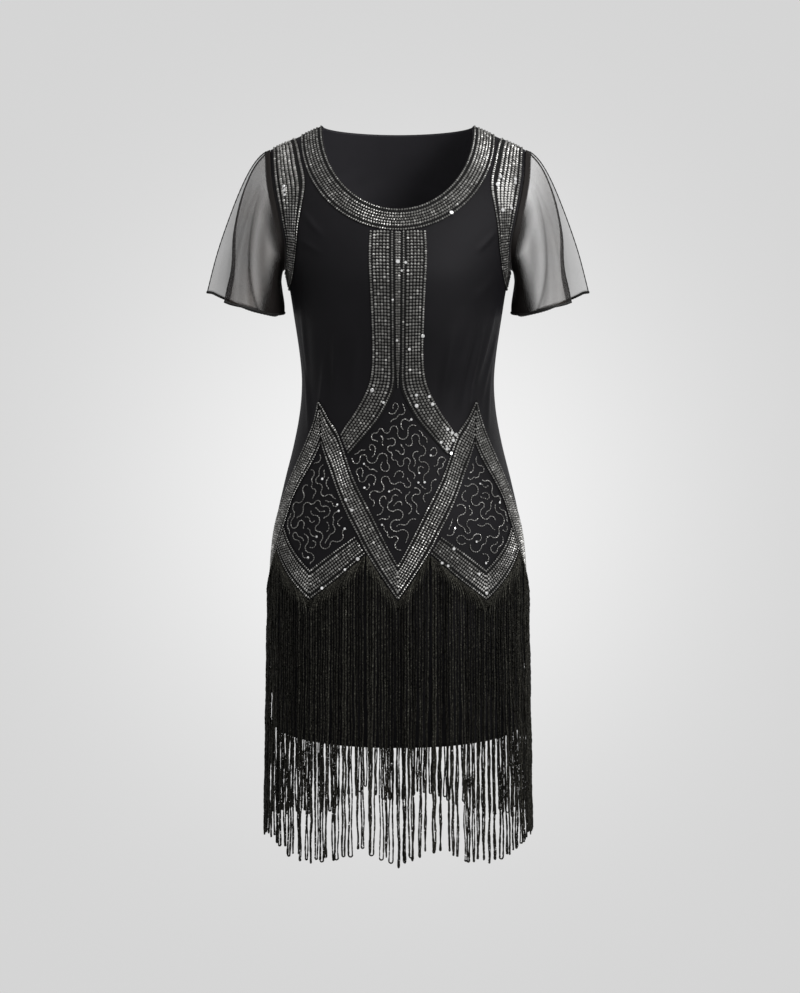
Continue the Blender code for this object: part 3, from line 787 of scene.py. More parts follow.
class Assembly:
    """Pieces of mesh that are gathered into one object."""

    def __init__(self) -> None:
        """Starts with nothing."""
        self.points: list[Array] = []
        self.faces: list[tuple[int, ...]] = []
        self.finishes: list[Array] = []
        self.tones: list[Array] = []
        self.maps: list[Array] = []
        self.count = 0

    def add(self, points: Array, faces: list[tuple[int, ...]], finish: Array | int, tone: Array | float,
            cloth_map: Array | None = None) -> None:
        """Adds points and the faces between them.

        Args:
            points: places, a row each.
            faces: point numbers of each face, from 0 in these points.
            finish: number of the material, or one for each face.
            tone: lightness of each point.
            cloth_map: place on the cloth of each point.
        """
        self.points.append(points)
        self.faces.extend(tuple(n + self.count for n in face) for face in faces)
        self.finishes.append(np.broadcast_to(finish, (len(faces),)))
        self.tones.append(np.broadcast_to(tone, (len(points),)))
        self.maps.append(np.zeros((len(points), 2)) if cloth_map is None else cloth_map)
        self.count += len(points)

    def add_wall(self, wall: Wall, finish: Array | int = 0, tone: Array | float = 0.5) -> None:
        """Adds a wall of cloth."""
        self.add(wall.points, wall.faces, finish, tone, wall.cloth_map)

    def repeat(self, pattern: Pattern, points: Array, finish: int, tones: Array) -> None:
        """Adds copies of a pattern.

        Args:
            pattern: the small mesh.
            points: the places of each copy's points, copies first.
            finish: number of the material.
            tones: lightness of each copy, or of each of its points.
        """
        size = points.shape[1]
        faces = [tuple(n + size * k for n in face) for k in range(len(points)) for face in pattern.faces]
        spread = np.broadcast_to(tones.reshape(len(points), -1), points.shape[:2])
        self.add(points.reshape(-1, 3), faces, finish, spread.ravel())

    def build(self, name: str, slot: str, materials: Sequence[Material], replaced: Sequence[str] = (),
              smooth: bool = True) -> Made:
        """Makes the object and puts it on the dress.

        Args:
            name: its name.
            slot: not used.
            materials: its materials in the order of their numbers.
            replaced: nodes of the construction that it replaces.
            smooth: whether its faces are shaded smooth.

        Returns:
            The object, linked to the scene.
        """
        mesh = bpy.data.meshes.new(name)
        mesh.from_pydata(np.concatenate(self.points).tolist(), [], self.faces)
        mesh.polygons.foreach_set("material_index", np.concatenate(self.finishes).astype(np.int32))
        for material in materials:
            mesh.materials.append(material)
        tone = mesh.attributes.new("tone", "FLOAT", "POINT")
        tone.data.foreach_set("value", np.concatenate(self.tones).astype(np.float32))
        corners = np.empty(len(mesh.loops), dtype=np.int32)
        mesh.loops.foreach_get("vertex_index", corners)
        layer = mesh.uv_layers.new(name="cloth")
        layer.data.foreach_set("uv", np.concatenate(self.maps)[corners].astype(np.float32).ravel())
        mesh.polygons.foreach_set("use_smooth", np.full(len(mesh.polygons), smooth))
        mesh.update()
        made = bpy.data.objects.new(name, mesh)
        bpy.context.scene.collection.objects.link(made)
        if replaced:
            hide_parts(*replaced)
        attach(made, "root")
        log.info("%s: %d faces", name, len(mesh.polygons))
        return made


def grid_wall(outer: Array, inner: Array) -> Wall:
    """Makes a closed wall of cloth between two grids of points.

    Args:
        outer: places of the outer face by column and row.
        inner: places of the inner face by column and row.

    Returns:
        The wall, its faces pointing out.
    """
    columns, rows = outer.shape[0] - 1, outer.shape[1] - 1
    bm = bmesh.new()
    bmesh.ops.create_grid(bm, x_segments=columns, y_segments=rows, size=1.0)
    pulled = bmesh.ops.extrude_face_region(bm, geom=bm.faces[:], use_keep_orig=True)["geom"]
    inside = {item for item in pulled if isinstance(item, bmesh.types.BMVert)}
    steps_across, steps_up = (np.linalg.norm(np.diff(outer, axis=axis), axis=2) for axis in (0, 1))
    across = np.cumsum(np.vstack([np.zeros(rows + 1), steps_across]), axis=0)
    across = across - across[columns // 2]
    up = np.cumsum(np.hstack([np.zeros((columns + 1, 1)), steps_up]), axis=1)
    i, j = (np.array([round((vert.co[axis] + 1.0) * steps / 2) for vert in bm.verts])
            for axis, steps in enumerate((columns, rows)))
    within = np.array([vert in inside for vert in bm.verts])
    placed = np.where(within[:, None], inner[i, j], outer[i, j])
    for vert, point in zip(bm.verts, placed.tolist()):
        vert.co = point
    bmesh.ops.recalc_face_normals(bm, faces=bm.faces)
    pattern = Pattern.of(bm)
    spots, cloth_map = np.stack([i, j], axis=1), np.stack([across[i, j], up[i, j]], axis=1)
    return Wall(placed, pattern.faces, spots, within, cloth_map)


def tube_pattern(rings: int, sides: int) -> tuple[Pattern, Array, Array]:
    """Makes a closed tube to be bent along a line.

    Args:
        rings: number of its rings.
        sides: number of its sides.

    Returns:
        The tube, with the ring and the side of each point.
    """
    bm = bmesh.new()
    bmesh.ops.create_circle(bm, cap_ends=True, segments=sides, radius=1.0)
    edges = bm.edges[:]
    for ring in range(1, rings):
        grown = bmesh.ops.extrude_edge_only(bm, edges=edges)["geom"]
        for vert in (item for item in grown if isinstance(item, bmesh.types.BMVert)):
            vert.co.z = ring
        edges = [item for item in grown if isinstance(item, bmesh.types.BMEdge)
                 and all(abs(vert.co.z - ring) < 0.5 for vert in item.verts)]
    bmesh.ops.edgeloop_fill(bm, edges=edges)
    bmesh.ops.recalc_face_normals(bm, faces=bm.faces)
    pattern = Pattern.of(bm)
    ring_of = np.rint(pattern.points[:, 2]).astype(int)
    corner = np.arctan2(pattern.points[:, 1], pattern.points[:, 0])
    return pattern, ring_of, np.rint(corner / (FULL_TURN / sides)).astype(int) % sides


def tubes(lines: Array, outs: Array, wide: Array | float, thick: Array | float, twist: Array | float,
          sides: int) -> tuple[Pattern, Array]:
    """Bends tubes along lines.

    Args:
        lines: points of each line, lines first.
        outs: a direction across each line, for each of its points.
        wide: half width at each point.
        thick: half thickness at each point.
        twist: turn of the section at each point.
        sides: number of sides.

    Returns:
        The tube and the places of each copy's points.
    """
    pattern, ring_of, side_of = tube_pattern(lines.shape[1], sides)
    wide, thick, twist = (np.broadcast_to(size, lines.shape[:2])[..., None] for size in (wide, thick, twist))
    along = unit(np.gradient(lines, axis=1))
    out = unit(outs - along * np.sum(outs * along, axis=-1, keepdims=True))
    beside = np.cross(along, out)
    corner = FULL_TURN * (np.arange(sides) + 0.5) / sides
    flat_x, flat_y = wide * np.cos(corner), thick * np.sin(corner)
    x = flat_x * np.cos(twist) - flat_y * np.sin(twist)
    y = flat_x * np.sin(twist) + flat_y * np.cos(twist)
    ring_points = lines[:, :, None] + beside[:, :, None] * x[..., None] + out[:, :, None] * y[..., None]
    return pattern, ring_points[:, ring_of, side_of]


# Body


@dataclass
class BodyPanel:
    """Front or back of the dress, whole from shoulder to hem, in one thickness of jersey."""

    side: Side
    cloth: float = 0.0014
    half_columns: int = 54
    neck_share: float = 0.667
    low_rows: int = 96
    high_rows: int = 72

    def top(self, neck: int) -> Array:
        """Upper edge of half the panel: the neckline and then the shoulder seam.

        Args:
            neck: how many columns end in the neckline.

        Returns:
            Angle and roll at each column.
        """
        neck_pairs = FORM.neckline(self.side, FORM.even_shares(self.side, neck), 0.0)
        start, end = neck_pairs[-1, 0], armhole(np.array(1.0))[0]
        rest = self.half_columns - neck
        seam = start + (end - start) * np.arange(1, rest + 1) / rest
        return np.vstack([neck_pairs, np.stack([seam, np.zeros(len(seam))], axis=1)])

    def grid(self) -> tuple[Array, Array]:
        """Lays out the panel's points.

        Returns:
            Their angles and rolls, by column across and row up.
        """
        half = self.half_columns
        top = self.top(round(half * self.neck_share))
        u = np.arange(half + 1) / half
        turn = u * math.pi / 2
        hem = FORM.hem + FORM.hem_rise * (1.0 - np.cos(turn)) * (1.0 + FORM.hem_back_share * self.side.value)
        lower = np.arange(self.low_rows) / self.low_rows
        heights = hem[:, None] + (FORM.underarm - hem[:, None]) * lower
        low_turn, low_roll = FORM.angles(np.degrees(turn)[:, None] + 0 * heights, heights)
        v = np.linspace(0.0, 1.0, self.high_rows + 1)
        base = np.stack(FORM.angles(np.degrees(turn), np.full(half + 1, FORM.underarm)), axis=1)
        swell = armhole(v) - (1 - v)[:, None] * armhole(np.array(0.0)) - v[:, None] * armhole(np.array(1.0))
        high = ((1 - v)[None, :, None] * base[:, None] + v[None, :, None] * top[:, None]
                + (u ** 3)[:, None, None] * swell[None])
        turns, rolls = np.hstack([low_turn, high[..., 0]]), np.hstack([low_roll, high[..., 1]])
        return np.vstack([-turns[:0:-1], turns]), np.vstack([rolls[:0:-1], rolls])

    def build(self, jersey: Material, inside_painted_light: Material) -> Made:
        """Makes the panel.

        Args:
            jersey: finish of the outside.
            inside_painted_light: finish of the inside, its base colour much lighter than the outside's, as
                painted light.

        Returns:
            The panel.
        """
        turns, rolls = self.grid()
        outer, inner = (FORM.place(self.side.value, turns, rolls, lift) for lift in (0.0, -self.cloth))
        wall = grid_wall(outer, inner)
        part = Assembly()
        part.add_wall(wall, wall.inner_faces())
        word = self.side.name.lower()
        return part.build(f"jersey_{word}", "cloth", [jersey, inside_painted_light], [f"body_{word}"])


@dataclass
class Seams:
    """Narrow sewn seams that join the two panels at the sides and the shoulders."""

    half_width: float = 0.0013
    half_thickness: float = 0.0005
    sunk: float = 0.0002
    short: float = 0.0008
    short_top: float = 0.0004
    rings: int = 120
    sides: int = 6

    def lines(self) -> Array:
        """Lays out the seams.

        Returns:
            Lines of a side seam and a shoulder seam, on the wearer's left and then the right.
        """
        share = np.linspace(0.0, 1.0, self.rings)
        low = FORM.hem + FORM.hem_rise + self.short
        side = FORM.on_cloth(90.0, low + (FORM.underarm - self.short_top - low) * share, -self.sunk)
        start, end = FORM.neckline(Side.FRONT, np.array([1.0]), self.short)[0, 0], armhole(np.array(1.0))[0]
        shoulder = FORM.place(-1, start + (end - start) * share, np.zeros(self.rings), -self.sunk)
        side[:, 1] = shoulder[:, 1] = 0.0
        mirror = np.array([-1.0, 1.0, 1.0])
        return np.stack([side, shoulder, side * mirror, shoulder * mirror])

    def build(self, jersey: Material) -> Made:
        """Makes the seams.

        Args:
            jersey: their finish.

        Returns:
            The seams, in one piece.
        """
        lines = self.lines()
        outs = np.zeros(lines.shape)
        outs[0::2, :, 0] = np.array([1.0, -1.0])[:, None]
        outs[1::2, :, 2] = 1.0
        part = Assembly()
        part.repeat(*tubes(lines, outs, self.half_width, self.half_thickness, 0.0, self.sides), 0,
                    np.full(len(lines), 0.5))
        return part.build("sewn_seams", "cloth", [jersey])


# Beadwork


class BandRow(NamedTuple):
    """Line across a beaded band, from its upper or outer edge to its lower or inner one."""

    upper_turn: float
    upper_height: float
    lower_turn: float
    lower_height: float


ARMHOLE_BAND = table_of(
    BandRow, (90.0, -0.1965, 90.0, -0.22), (82.0, -0.1945, 77.0, -0.215), (74.0, -0.188, 66.0, -0.199),
    (66.0, -0.174, 56.0, -0.171), (59.6, -0.149, 48.5, -0.142), (58.8, -0.119, 42.8, -0.106),
    (61.0, -0.09, 40.4, -0.076), (64.2, -0.056, 43.4, -0.046), (65.8, -0.037, 46.0, -0.025),
    (67.0, -0.0295, 48.5, -0.0165))
PLACKET = table_of(
    BandRow, (10.6, -0.1412, 0.9, -0.1422), (12.2, -0.184, 1.0, -0.184), (12.2, -0.254, 1.0, -0.254),
    (12.5, -0.302, 1.0, -0.302), (14.0, -0.333, 1.0, -0.34), (17.4, -0.355, 3.6, -0.362),
    (23.9, -0.3818, 9.0, -0.387), (28.4, -0.3965, 17.1, -0.4118), (31.2, -0.4085, 24.9, -0.435))
CENTRE_V = table_of(
    BandRow, (50.6, -0.3638, 44.3, -0.4219), (41.5, -0.387, 38.2, -0.445), (32.2, -0.4101, 33.2, -0.4643),
    (21.0, -0.4633, 25.0, -0.5016), (14.0, -0.495, 17.0, -0.5376), (8.9, -0.5214, 12.4, -0.5623),
    (0.0, -0.5778, 0.0, -0.6249))
SIDE_ARM = table_of(
    BandRow, (51.0, -0.364, 44.9, -0.4225), (56.0, -0.4019, 49.6, -0.448), (67.2, -0.4587, 60.5, -0.4952),
    (75.5, -0.4985, 65.2, -0.5365), (82.5, -0.532, 75.0, -0.583), (90.0, -0.564, 90.0, -0.627))
LOW_V_OUTER_ARM = table_of(
    BandRow, (64.2, -0.5365, 70.6, -0.568), (55.9, -0.5574, 58.6, -0.5934), (40.3, -0.5887, 40.1, -0.6291))
LOW_V_INNER_ARM = table_of(
    BandRow, (40.3, -0.5887, 40.1, -0.6291), (30.7, -0.5683, 25.1, -0.5968), (17.9, -0.5412, 12.9, -0.5635))
STRIP = table_of(
    BandRow, (-0.75, -0.1422, 0.75, -0.1422), (-0.75, -0.2, 0.75, -0.2), (-0.7, -0.26, 0.7, -0.26),
    (-0.55, -0.31, 0.55, -0.31), (-0.15, -0.346, 0.15, -0.346))
DIAMOND_CENTRE = (
    (0.0, -0.3560), (3.6, -0.3640), (9.0, -0.3890), (17.1, -0.4138), (24.9, -0.4370), (27.6, -0.4330),
    (21.0, -0.4633), (14.0, -0.4950), (8.9, -0.5214), (0.0, -0.5778), (-8.9, -0.5214), (-14.0, -0.4950),
    (-21.0, -0.4633), (-27.6, -0.4330), (-24.9, -0.4370), (-17.1, -0.4138), (-9.0, -0.3890), (-3.6, -0.3640),
)
DIAMOND_SIDE = (
    (44.6, -0.4250), (49.6, -0.4480), (60.5, -0.4952), (64.6, -0.5360), (55.9, -0.5574), (40.3, -0.5887),
    (30.7, -0.5683), (18.0, -0.5400), (25.0, -0.5016), (33.2, -0.4643), (38.2, -0.4450),
)


@dataclass(frozen=True)
class BeadRow:
    """Row of beads along a band.

    across and wide, its place and the bead's width, are shares of the band's width. long, the bead's length,
    is a share of the pitch.
    """

    across: float
    wide: float = 0.138
    pitch: float = 0.0036
    tilt: float = 25.0
    dim: float = 0.0
    long: float = 1.02


BAND_ROWS = (
    BeadRow(0.048, 0.090, 0.0034, 24.0, long=0.92),
    *(BeadRow(across, 0.114) for across in (0.236, 0.368, 0.500, 0.632, 0.764)),
    BeadRow(0.952, 0.090, 0.0034, 24.0, long=0.92),
)
PLACKET_ROWS = (
    BeadRow(0.040, 0.105, 0.0033, 24.0),
    *(BeadRow(across, 0.122, 0.0043, dim=0.20, long=0.98) for across in (0.200, 0.335, 0.470, 0.605, 0.740)),
    BeadRow(0.900, 0.090, 0.0032, 24.0, 0.3),
)
STRIP_ROWS = tuple(BeadRow(across, 0.75, 0.0034, dim=0.3) for across in (0.22, 0.78))


class Gleam(NamedTuple):
    """Patch where the beads are painted lighter, as a painted highlight where they catch the light: degrees
    round the body, height, radius and strength.
    """

    around: float
    height: float
    radius: float
    strength: float


# Painted highlights: on the front, beads within each patch are made lighter, most at its middle.
GLEAMS = table_of(
    Gleam, (50.0, -0.0963, 0.0165, 1.6), (54.0, -0.078, 0.006, 0.35), (29.1, -0.413, 0.013, 0.6),
    (25.3, -0.4254, 0.008, 0.5), (38.5, -0.61, 0.014, 0.55), (33.0, -0.565, 0.018, 0.3),
    (27.0, -0.485, 0.026, 0.2), (-44.0, -0.6, 0.016, 0.35), (-53.9, -0.088, 0.007, 0.45),
    (-33.0, -0.456, 0.02, 0.2), (20.0, -0.09, 0.02, 0.15), (38.0, -0.045, 0.03, 0.26),
    (30.0, -0.085, 0.025, 0.12), (-38.0, -0.045, 0.035, 0.12))


@cache
def bead_pattern(shape: BeadShape) -> Pattern:
    """Makes one bead of size 1, with its back on the cloth and its axis along z.

    Args:
        shape: kind of bead.

    Returns:
        The bead.
    """
    bm = bmesh.new()
    if shape is BeadShape.CUP:
        bmesh.ops.create_cone(bm, cap_ends=True, segments=6, radius1=0.5, radius2=0.24, depth=0.34)
    elif shape is BeadShape.DISC:
        bmesh.ops.create_cone(bm, cap_ends=True, segments=10, radius1=0.5, radius2=0.42, depth=0.10)
    else:
        bmesh.ops.create_icosphere(bm, subdivisions=1, radius=0.5)
    return Pattern.of(bm)


def sewn(shape: BeadShape, points: Array, along: Array, out: Array, sizes: Array,
         tilts: Array) -> tuple[Pattern, Array]:
    """Sets beads on the cloth.

    Args:
        shape: kind of bead.
        points: a place for each bead.
        along: direction of its row at each.
        out: direction away from the cloth at each.
        sizes: length, width and height of each.
        tilts: angle that its front edge is raised, for each.

    Returns:
        The bead and the places of each copy's points.
    """
    pattern = bead_pattern(shape)
    along = unit(along - out * np.sum(along * out, axis=1, keepdims=True))
    beside = np.cross(out, along)
    lean_cos, lean_sin = np.cos(tilts)[:, None], np.sin(tilts)[:, None]
    axis_x = along * lean_cos + out * lean_sin
    axis_z = out * lean_cos - along * lean_sin
    local = pattern.points[None] * sizes[:, None]
    placed = (points[:, None] + local[..., 0:1] * axis_x[:, None] + local[..., 1:2] * beside[:, None]
              + local[..., 2:3] * axis_z[:, None])
    return pattern, placed


@dataclass
class BeadedBand:
    """Band of beads sewn to a tape over a panel, in place of the band of its name in the construction.

    rows holds the angles of the band's two edges, a row for each step along it.
    """

    name: str
    side: Side
    rows: Array
    layout: tuple[BeadRow, ...] = BAND_ROWS
    seed: int = 1
    tape_lift: float = 0.0007
    tape: float = 0.0004
    tape_lines: int = 5
    bead_lift: float = 0.0017
    bead_height: float = 0.0030
    least_out: float = 0.02
    spot_noise: float = 0.00012
    size_noise: float = 0.035
    tilt_noise: float = 5.0
    tone_shape: float = 4.0
    tone_scale: float = 0.070
    dull_share: float = 0.98
    glint: float = 0.5
    beads: int = field(default=0, init=False)

    def angles(self, share: float) -> Array:
        """Angles along the band at a share of the way across it."""
        return self.rows[:, :2] + (self.rows[:, 2:] - self.rows[:, :2]) * share

    def at(self, share: float, lift: float) -> Array:
        """Points along the band at a share of the way across it."""
        return FORM.place(self.side.value, *self.angles(share).T, lift)

    def tones(self, points: Array, dim: float, rng: Chance) -> Array:
        """Chooses how light each bead of a row is: random tones, painted glints on a few random beads, and on
        the front painted highlights in the gleam patches.

        Args:
            points: the places of the beads.
            dim: how much duller than usual the row is.
            rng: source of chance.

        Returns:
            The tones.
        """
        count = len(points)
        tones = rng.gamma(self.tone_shape, self.tone_scale, count) * (1.0 - dim)
        # A few random beads are painted much lighter as glints.
        tones += (rng.random(count) > self.dull_share) * self.glint
        # Painted highlights in the gleam patches, on the front only.
        if self.side is Side.FRONT:
            for gleam in GLEAMS:
                off = np.linalg.norm(points - FORM.on_cloth(gleam.around, gleam.height), axis=1)
                tones += gleam.strength * np.exp(-(off / gleam.radius) ** 2)
        return np.clip(tones, 0.0, 1.0)

    def string(self, part: Assembly, row: BeadRow, rng: Chance) -> None:
        """Sews one row of beads.

        Args:
            part: the mesh that they are added to.
            row: the row.
            rng: source of chance.
        """
        pairs, line = self.angles(row.across), self.at(row.across, self.bead_lift)
        along = lengths_along(line)
        count = max(int(along[-1] / row.pitch), 2)
        spots = (np.arange(count) + 0.5) * along[-1] / count + rng.normal(0.0, self.spot_noise, count)
        spots = np.clip(spots, 0.0, along[-1])
        points = resampled(line, along, spots)
        out = FORM.outward(np.full(count, self.side.value), *resampled(pairs, along, spots).T)
        out[:, 1] = self.side.value * np.maximum(self.side.value * out[:, 1], self.least_out)
        heading = resampled(np.gradient(line, axis=0), along, spots)
        across = resampled(self.at(1.0, 0.0) - self.at(0.0, 0.0), along, spots)
        way = unit(heading)
        width = np.linalg.norm(across - way * np.sum(across * way, axis=1, keepdims=True), axis=1) * row.wide
        long = np.full(count, row.pitch * row.long)
        sizes = np.stack([long, width, np.full(count, self.bead_height)], axis=1)
        sizes *= rng.normal(1.0, self.size_noise, (count, 1))
        tilts = np.radians(row.tilt + rng.normal(0.0, self.tilt_noise, count))
        pattern, placed = sewn(BeadShape.CUP, points, heading, unit(out), sizes, tilts)
        part.repeat(pattern, placed, 1, self.tones(points, row.dim, rng))
        self.beads += count

    def build(self, tape: Material, glass: Material) -> Made:
        """Makes the tape with its rows of beads.

        Args:
            tape: finish of the tape.
            glass: finish of the beads.

        Returns:
            The band.
        """
        rng = np.random.default_rng(self.seed)
        part = Assembly()
        shares = np.linspace(0.0, 1.0, self.tape_lines)
        outer, inner = (np.stack([self.at(share, lift) for share in shares], axis=1)
                        for lift in (self.tape_lift + self.tape, self.tape_lift))
        part.add_wall(grid_wall(outer, inner))
        for row in self.layout:
            self.string(part, row, rng)
        log.info("%s: %d beads", self.name, self.beads)
        return part.build(f"beaded_{self.name}", "beadwork", [tape, glass], [self.name], smooth=False)


MIRRORED_ANGLES = np.array([-1.0, 1.0, -1.0, 1.0])


def angle_rows(rows: Sequence[BandRow], hand: Hand = Hand.LEFT) -> Array:
    """Looks up the angles of a band's edges.

    Args:
        rows: the band's table.
        hand: wearer's left or right.

    Returns:
        Angle and roll of the upper edge and of the lower edge, a row for each line across the band.
    """
    table = np.array(rows)
    upper = FORM.angles(table[:, 0] * hand.value, table[:, 1])
    lower = FORM.angles(table[:, 2] * hand.value, table[:, 3])
    return np.stack([*upper, *lower], axis=1)


def mirrored_v(rows: Sequence[BandRow], steps: int) -> Array:
    """Rows of a V about the centre line, from its half."""
    half = flow(angle_rows(rows), steps)
    return np.vstack([half, half[:-1][::-1] * MIRRORED_ANGLES])


@dataclass
class Beadwork:
    """Every beaded band of the dress."""

    steps: int = 14
    neck_steps: int = 60
    neck_width: float = 0.0285
    neck_inset: float = 0.0006
    first_seed: int = 3
    bands: list[BeadedBand] = field(default_factory=list)

    def neck_rows(self, side: Side) -> Array:
        """Lays out the band along the neckline."""
        shares = FORM.even_shares(side, self.neck_steps)
        half = np.hstack([FORM.neckline(side, shares, inset) for inset in (self.neck_inset, self.neck_width)])
        return np.vstack([half[:0:-1] * MIRRORED_ANGLES, half])

    def add(self, name: str, side: Side, rows: Array, layout: tuple[BeadRow, ...] = BAND_ROWS) -> None:
        """Lists a band, with a seed of its own."""
        self.bands.append(BeadedBand(name, side, rows, layout, self.first_seed + len(self.bands)))

    def plan(self) -> None:
        """Lists every band."""
        for side in Side:
            word = side.name.lower()
            self.add(f"neck_band_{word}", side, self.neck_rows(side))
            self.add(f"centre_v_{word}", side, mirrored_v(CENTRE_V, self.steps))
            for hand in Hand:
                end = f"{word}_{hand.name.lower()}"
                armhole_band, side_arm, outer_arm, inner_arm = (
                    flow(angle_rows(table, hand), self.steps)
                    for table in (ARMHOLE_BAND, SIDE_ARM, LOW_V_OUTER_ARM, LOW_V_INNER_ARM))
                self.add(f"armhole_band_{end}", side, armhole_band)
                self.add(f"side_arm_{end}", side, side_arm)
                self.add(f"low_v_{end}", side, np.vstack([outer_arm, inner_arm[1:]]))
        for hand in Hand:
            rows = flow(angle_rows(PLACKET, hand), self.steps)
            self.add(f"placket_{hand.name.lower()}", Side.FRONT, rows, PLACKET_ROWS)
        self.add("placket_strip", Side.FRONT, flow(angle_rows(STRIP), self.steps), STRIP_ROWS)

    def build(self) -> list[Made]:
        """Makes the bands.

        Returns:
            The bands, in the order of the plan.
        """
        tape, glass = Tape().material(), Glass().material()
        self.plan()
        made = [band.build(tape, glass) for band in self.bands]
        log.info("beadwork: %d beads in all", sum(band.beads for band in self.bands))
        return made


@dataclass
class Meander:
    """Wandering lines of beads that fill a diamond, grown step by step from a rule.

    corners are degrees round the body and heights.
    """

    name: str
    corners: tuple[tuple[float, float], ...]
    seed: int
    bead_long: float = 0.0038
    bead_wide: float = 0.0015
    pace: float = 0.0016
    clearance: float = 0.0060
    edge_clearance: float = 0.0049
    tightest: float = 0.0038
    longest: float = 0.120
    shortest: float = 0.017
    tries: int = 7
    own_span: int = 7
    cell: float = 0.001
    lift: float = 0.0012
    level: float = -0.50
    starts: int = 2600
    margin: float = 0.004
    own_share: float = 0.85
    overlap: float = 0.86
    size_noise: float = 0.08
    tilt_noise: float = 8.0
    tone: float = 0.34
    tone_noise: float = 0.09
    dull_share: float = 0.97
    glint: float = 0.4
    sequin_share: float = 0.30
    sequin_lift: float = 0.0012
    sequin_tone: float = 0.9

    def arc_table(self) -> tuple[Array, Array]:
        """Measures the cloth round the front.

        Returns:
            Degrees round the body and the length of cloth up to each from the centre line.
        """
        degrees = np.linspace(-90.0, 90.0, 181)
        along = lengths_along(FORM.on_cloth(degrees, np.full(len(degrees), self.level)))
        return degrees, along - along[len(degrees) // 2]

    def outline(self) -> Array:
        """The diamond's corners in metres of cloth."""
        degrees, along = self.arc_table()
        table = np.array(self.corners)
        return np.stack([np.interp(table[:, 0], degrees, along), table[:, 1]], axis=1)

    def room(self, outline: Array, low: Array, size: tuple[int, int]) -> Array:
        """Measures how far the cells of a grid are from the outline."""
        spots = np.stack(np.meshgrid(*[np.arange(n) for n in size], indexing="ij"), axis=-1) * self.cell + low
        start, end = outline, np.roll(outline, -1, axis=0)
        run = end - start
        off = spots[:, :, None] - start
        share = np.clip(np.sum(off * run, axis=-1) / np.sum(run * run, axis=1), 0.0, 1.0)
        nearest = np.min(np.linalg.norm(off - run * share[..., None], axis=-1), axis=-1)
        above = (start[:, 1] > spots[..., None, 1]) != (end[:, 1] > spots[..., None, 1])
        rise = np.where(np.abs(run[:, 1]) < 1e-9, 1.0, run[:, 1])
        cross = start[:, 0] + (spots[..., None, 1] - start[:, 1]) / rise * run[:, 0]
        within = np.sum(above & (spots[..., None, 0] < cross), axis=-1) % 2 == 1
        return np.where(within, nearest, -nearest)

    def wander(self) -> list[Array]:
        """Grows the lines, the longest of a few tries each time.

        Returns:
            The lines, in metres of cloth.
        """
        rng = np.random.default_rng(self.seed)
        outline = self.outline()
        low, high = outline.min(axis=0) - self.margin, outline.max(axis=0) + self.margin
        size = tuple(int(n) + 1 for n in (high - low) / self.cell)
        room = self.room(outline, low, size)
        taken = np.full((1, 2), 9.0)

        def free(point: Array, own: list[Array]) -> bool:
            """Whether a point keeps clear of the edges and of every line."""
            cell = np.rint((point - low) / self.cell).astype(int)
            if not (0 <= cell[0] < size[0] and 0 <= cell[1] < size[1]):
                return False
            if room[tuple(cell)] < self.edge_clearance:
                return False
            if np.min(np.sum((taken - point) ** 2, axis=1)) < self.clearance ** 2:
                return False
            older = own[:-self.own_span]
            gap = self.own_share * self.clearance
            return not older or np.min(np.sum((np.array(older) - point) ** 2, axis=1)) >= gap ** 2

        def walk(line: list[Array], heading: float) -> list[Array]:
            """Carries a line on in bends to one side and the other until it is hemmed in."""
            bend, arc = rng.choice([-1.0, 1.0]), 0.0
            swing, radius = rng.uniform(0.3, 1.1) * math.pi, self.tightest * rng.uniform(1.0, 2.2)
            while len(line) * self.pace < self.longest:
                for turn in (bend / radius, -bend / radius, bend / self.tightest, -bend / self.tightest):
                    facing = heading + turn * self.pace
                    ahead = line[-1] + self.pace * np.array([math.cos(facing), math.sin(facing)])
                    if free(ahead, line):
                        break
                else:
                    return line
                if turn * bend < 0:
                    bend, arc = -bend, 0.0
                heading = facing
                arc += abs(turn) * self.pace
                line.append(ahead)
                if arc > swing:
                    bend, arc = -bend, 0.0
                    swing, radius = rng.uniform(0.3, 1.2) * math.pi, self.tightest * rng.uniform(1.0, 2.2)
            return line

        lines: list[Array] = []
        for _ in range(self.starts):
            start = low + (high - low) * rng.random(2)
            if not free(start, []):
                continue
            best: list[Array] = []
            for _ in range(self.tries):
                heading = rng.random() * FULL_TURN
                one_way = walk([start], heading)
                both = walk(one_way[::-1], heading + math.pi) if len(one_way) > 2 else one_way
                best = max(best, both, key=len)
            if len(best) * self.pace > self.shortest:
                lines.append(np.array(best))
                taken = np.vstack([taken, lines[-1]])
        return lines

    def build(self, glass: Material, foil: Material) -> Made:
        """Sews the beads along the lines, with a sequin at some of their ends.

        Args:
            glass: finish of the beads.
            foil: finish of the sequins.

        Returns:
            The filled diamond.
        """
        rng = np.random.default_rng(self.seed + 50)
        degrees, along_cloth = self.arc_table()
        part = Assembly()
        count_all = 0
        for line in self.wander():
            around = np.interp(line[:, 0], along_cloth, degrees)
            path = FORM.on_cloth(around, line[:, 1], self.lift)
            along = lengths_along(path)
            count = max(int(along[-1] / (self.bead_long * self.overlap)), 2)
            spots = (np.arange(count) + 0.5) * along[-1] / count
            points, heading, out = (resampled(values, along, spots) for values in (
                path, np.gradient(path, axis=0), FORM.facing(around, line[:, 1])))
            out_unit = unit(out)
            sizes = np.array([self.bead_long, self.bead_wide, self.bead_wide])
            sizes = sizes * rng.normal(1.0, self.size_noise, (count, 1))
            tilts = np.radians(rng.normal(0, self.tilt_noise, count))
            tones = rng.normal(self.tone, self.tone_noise, count)
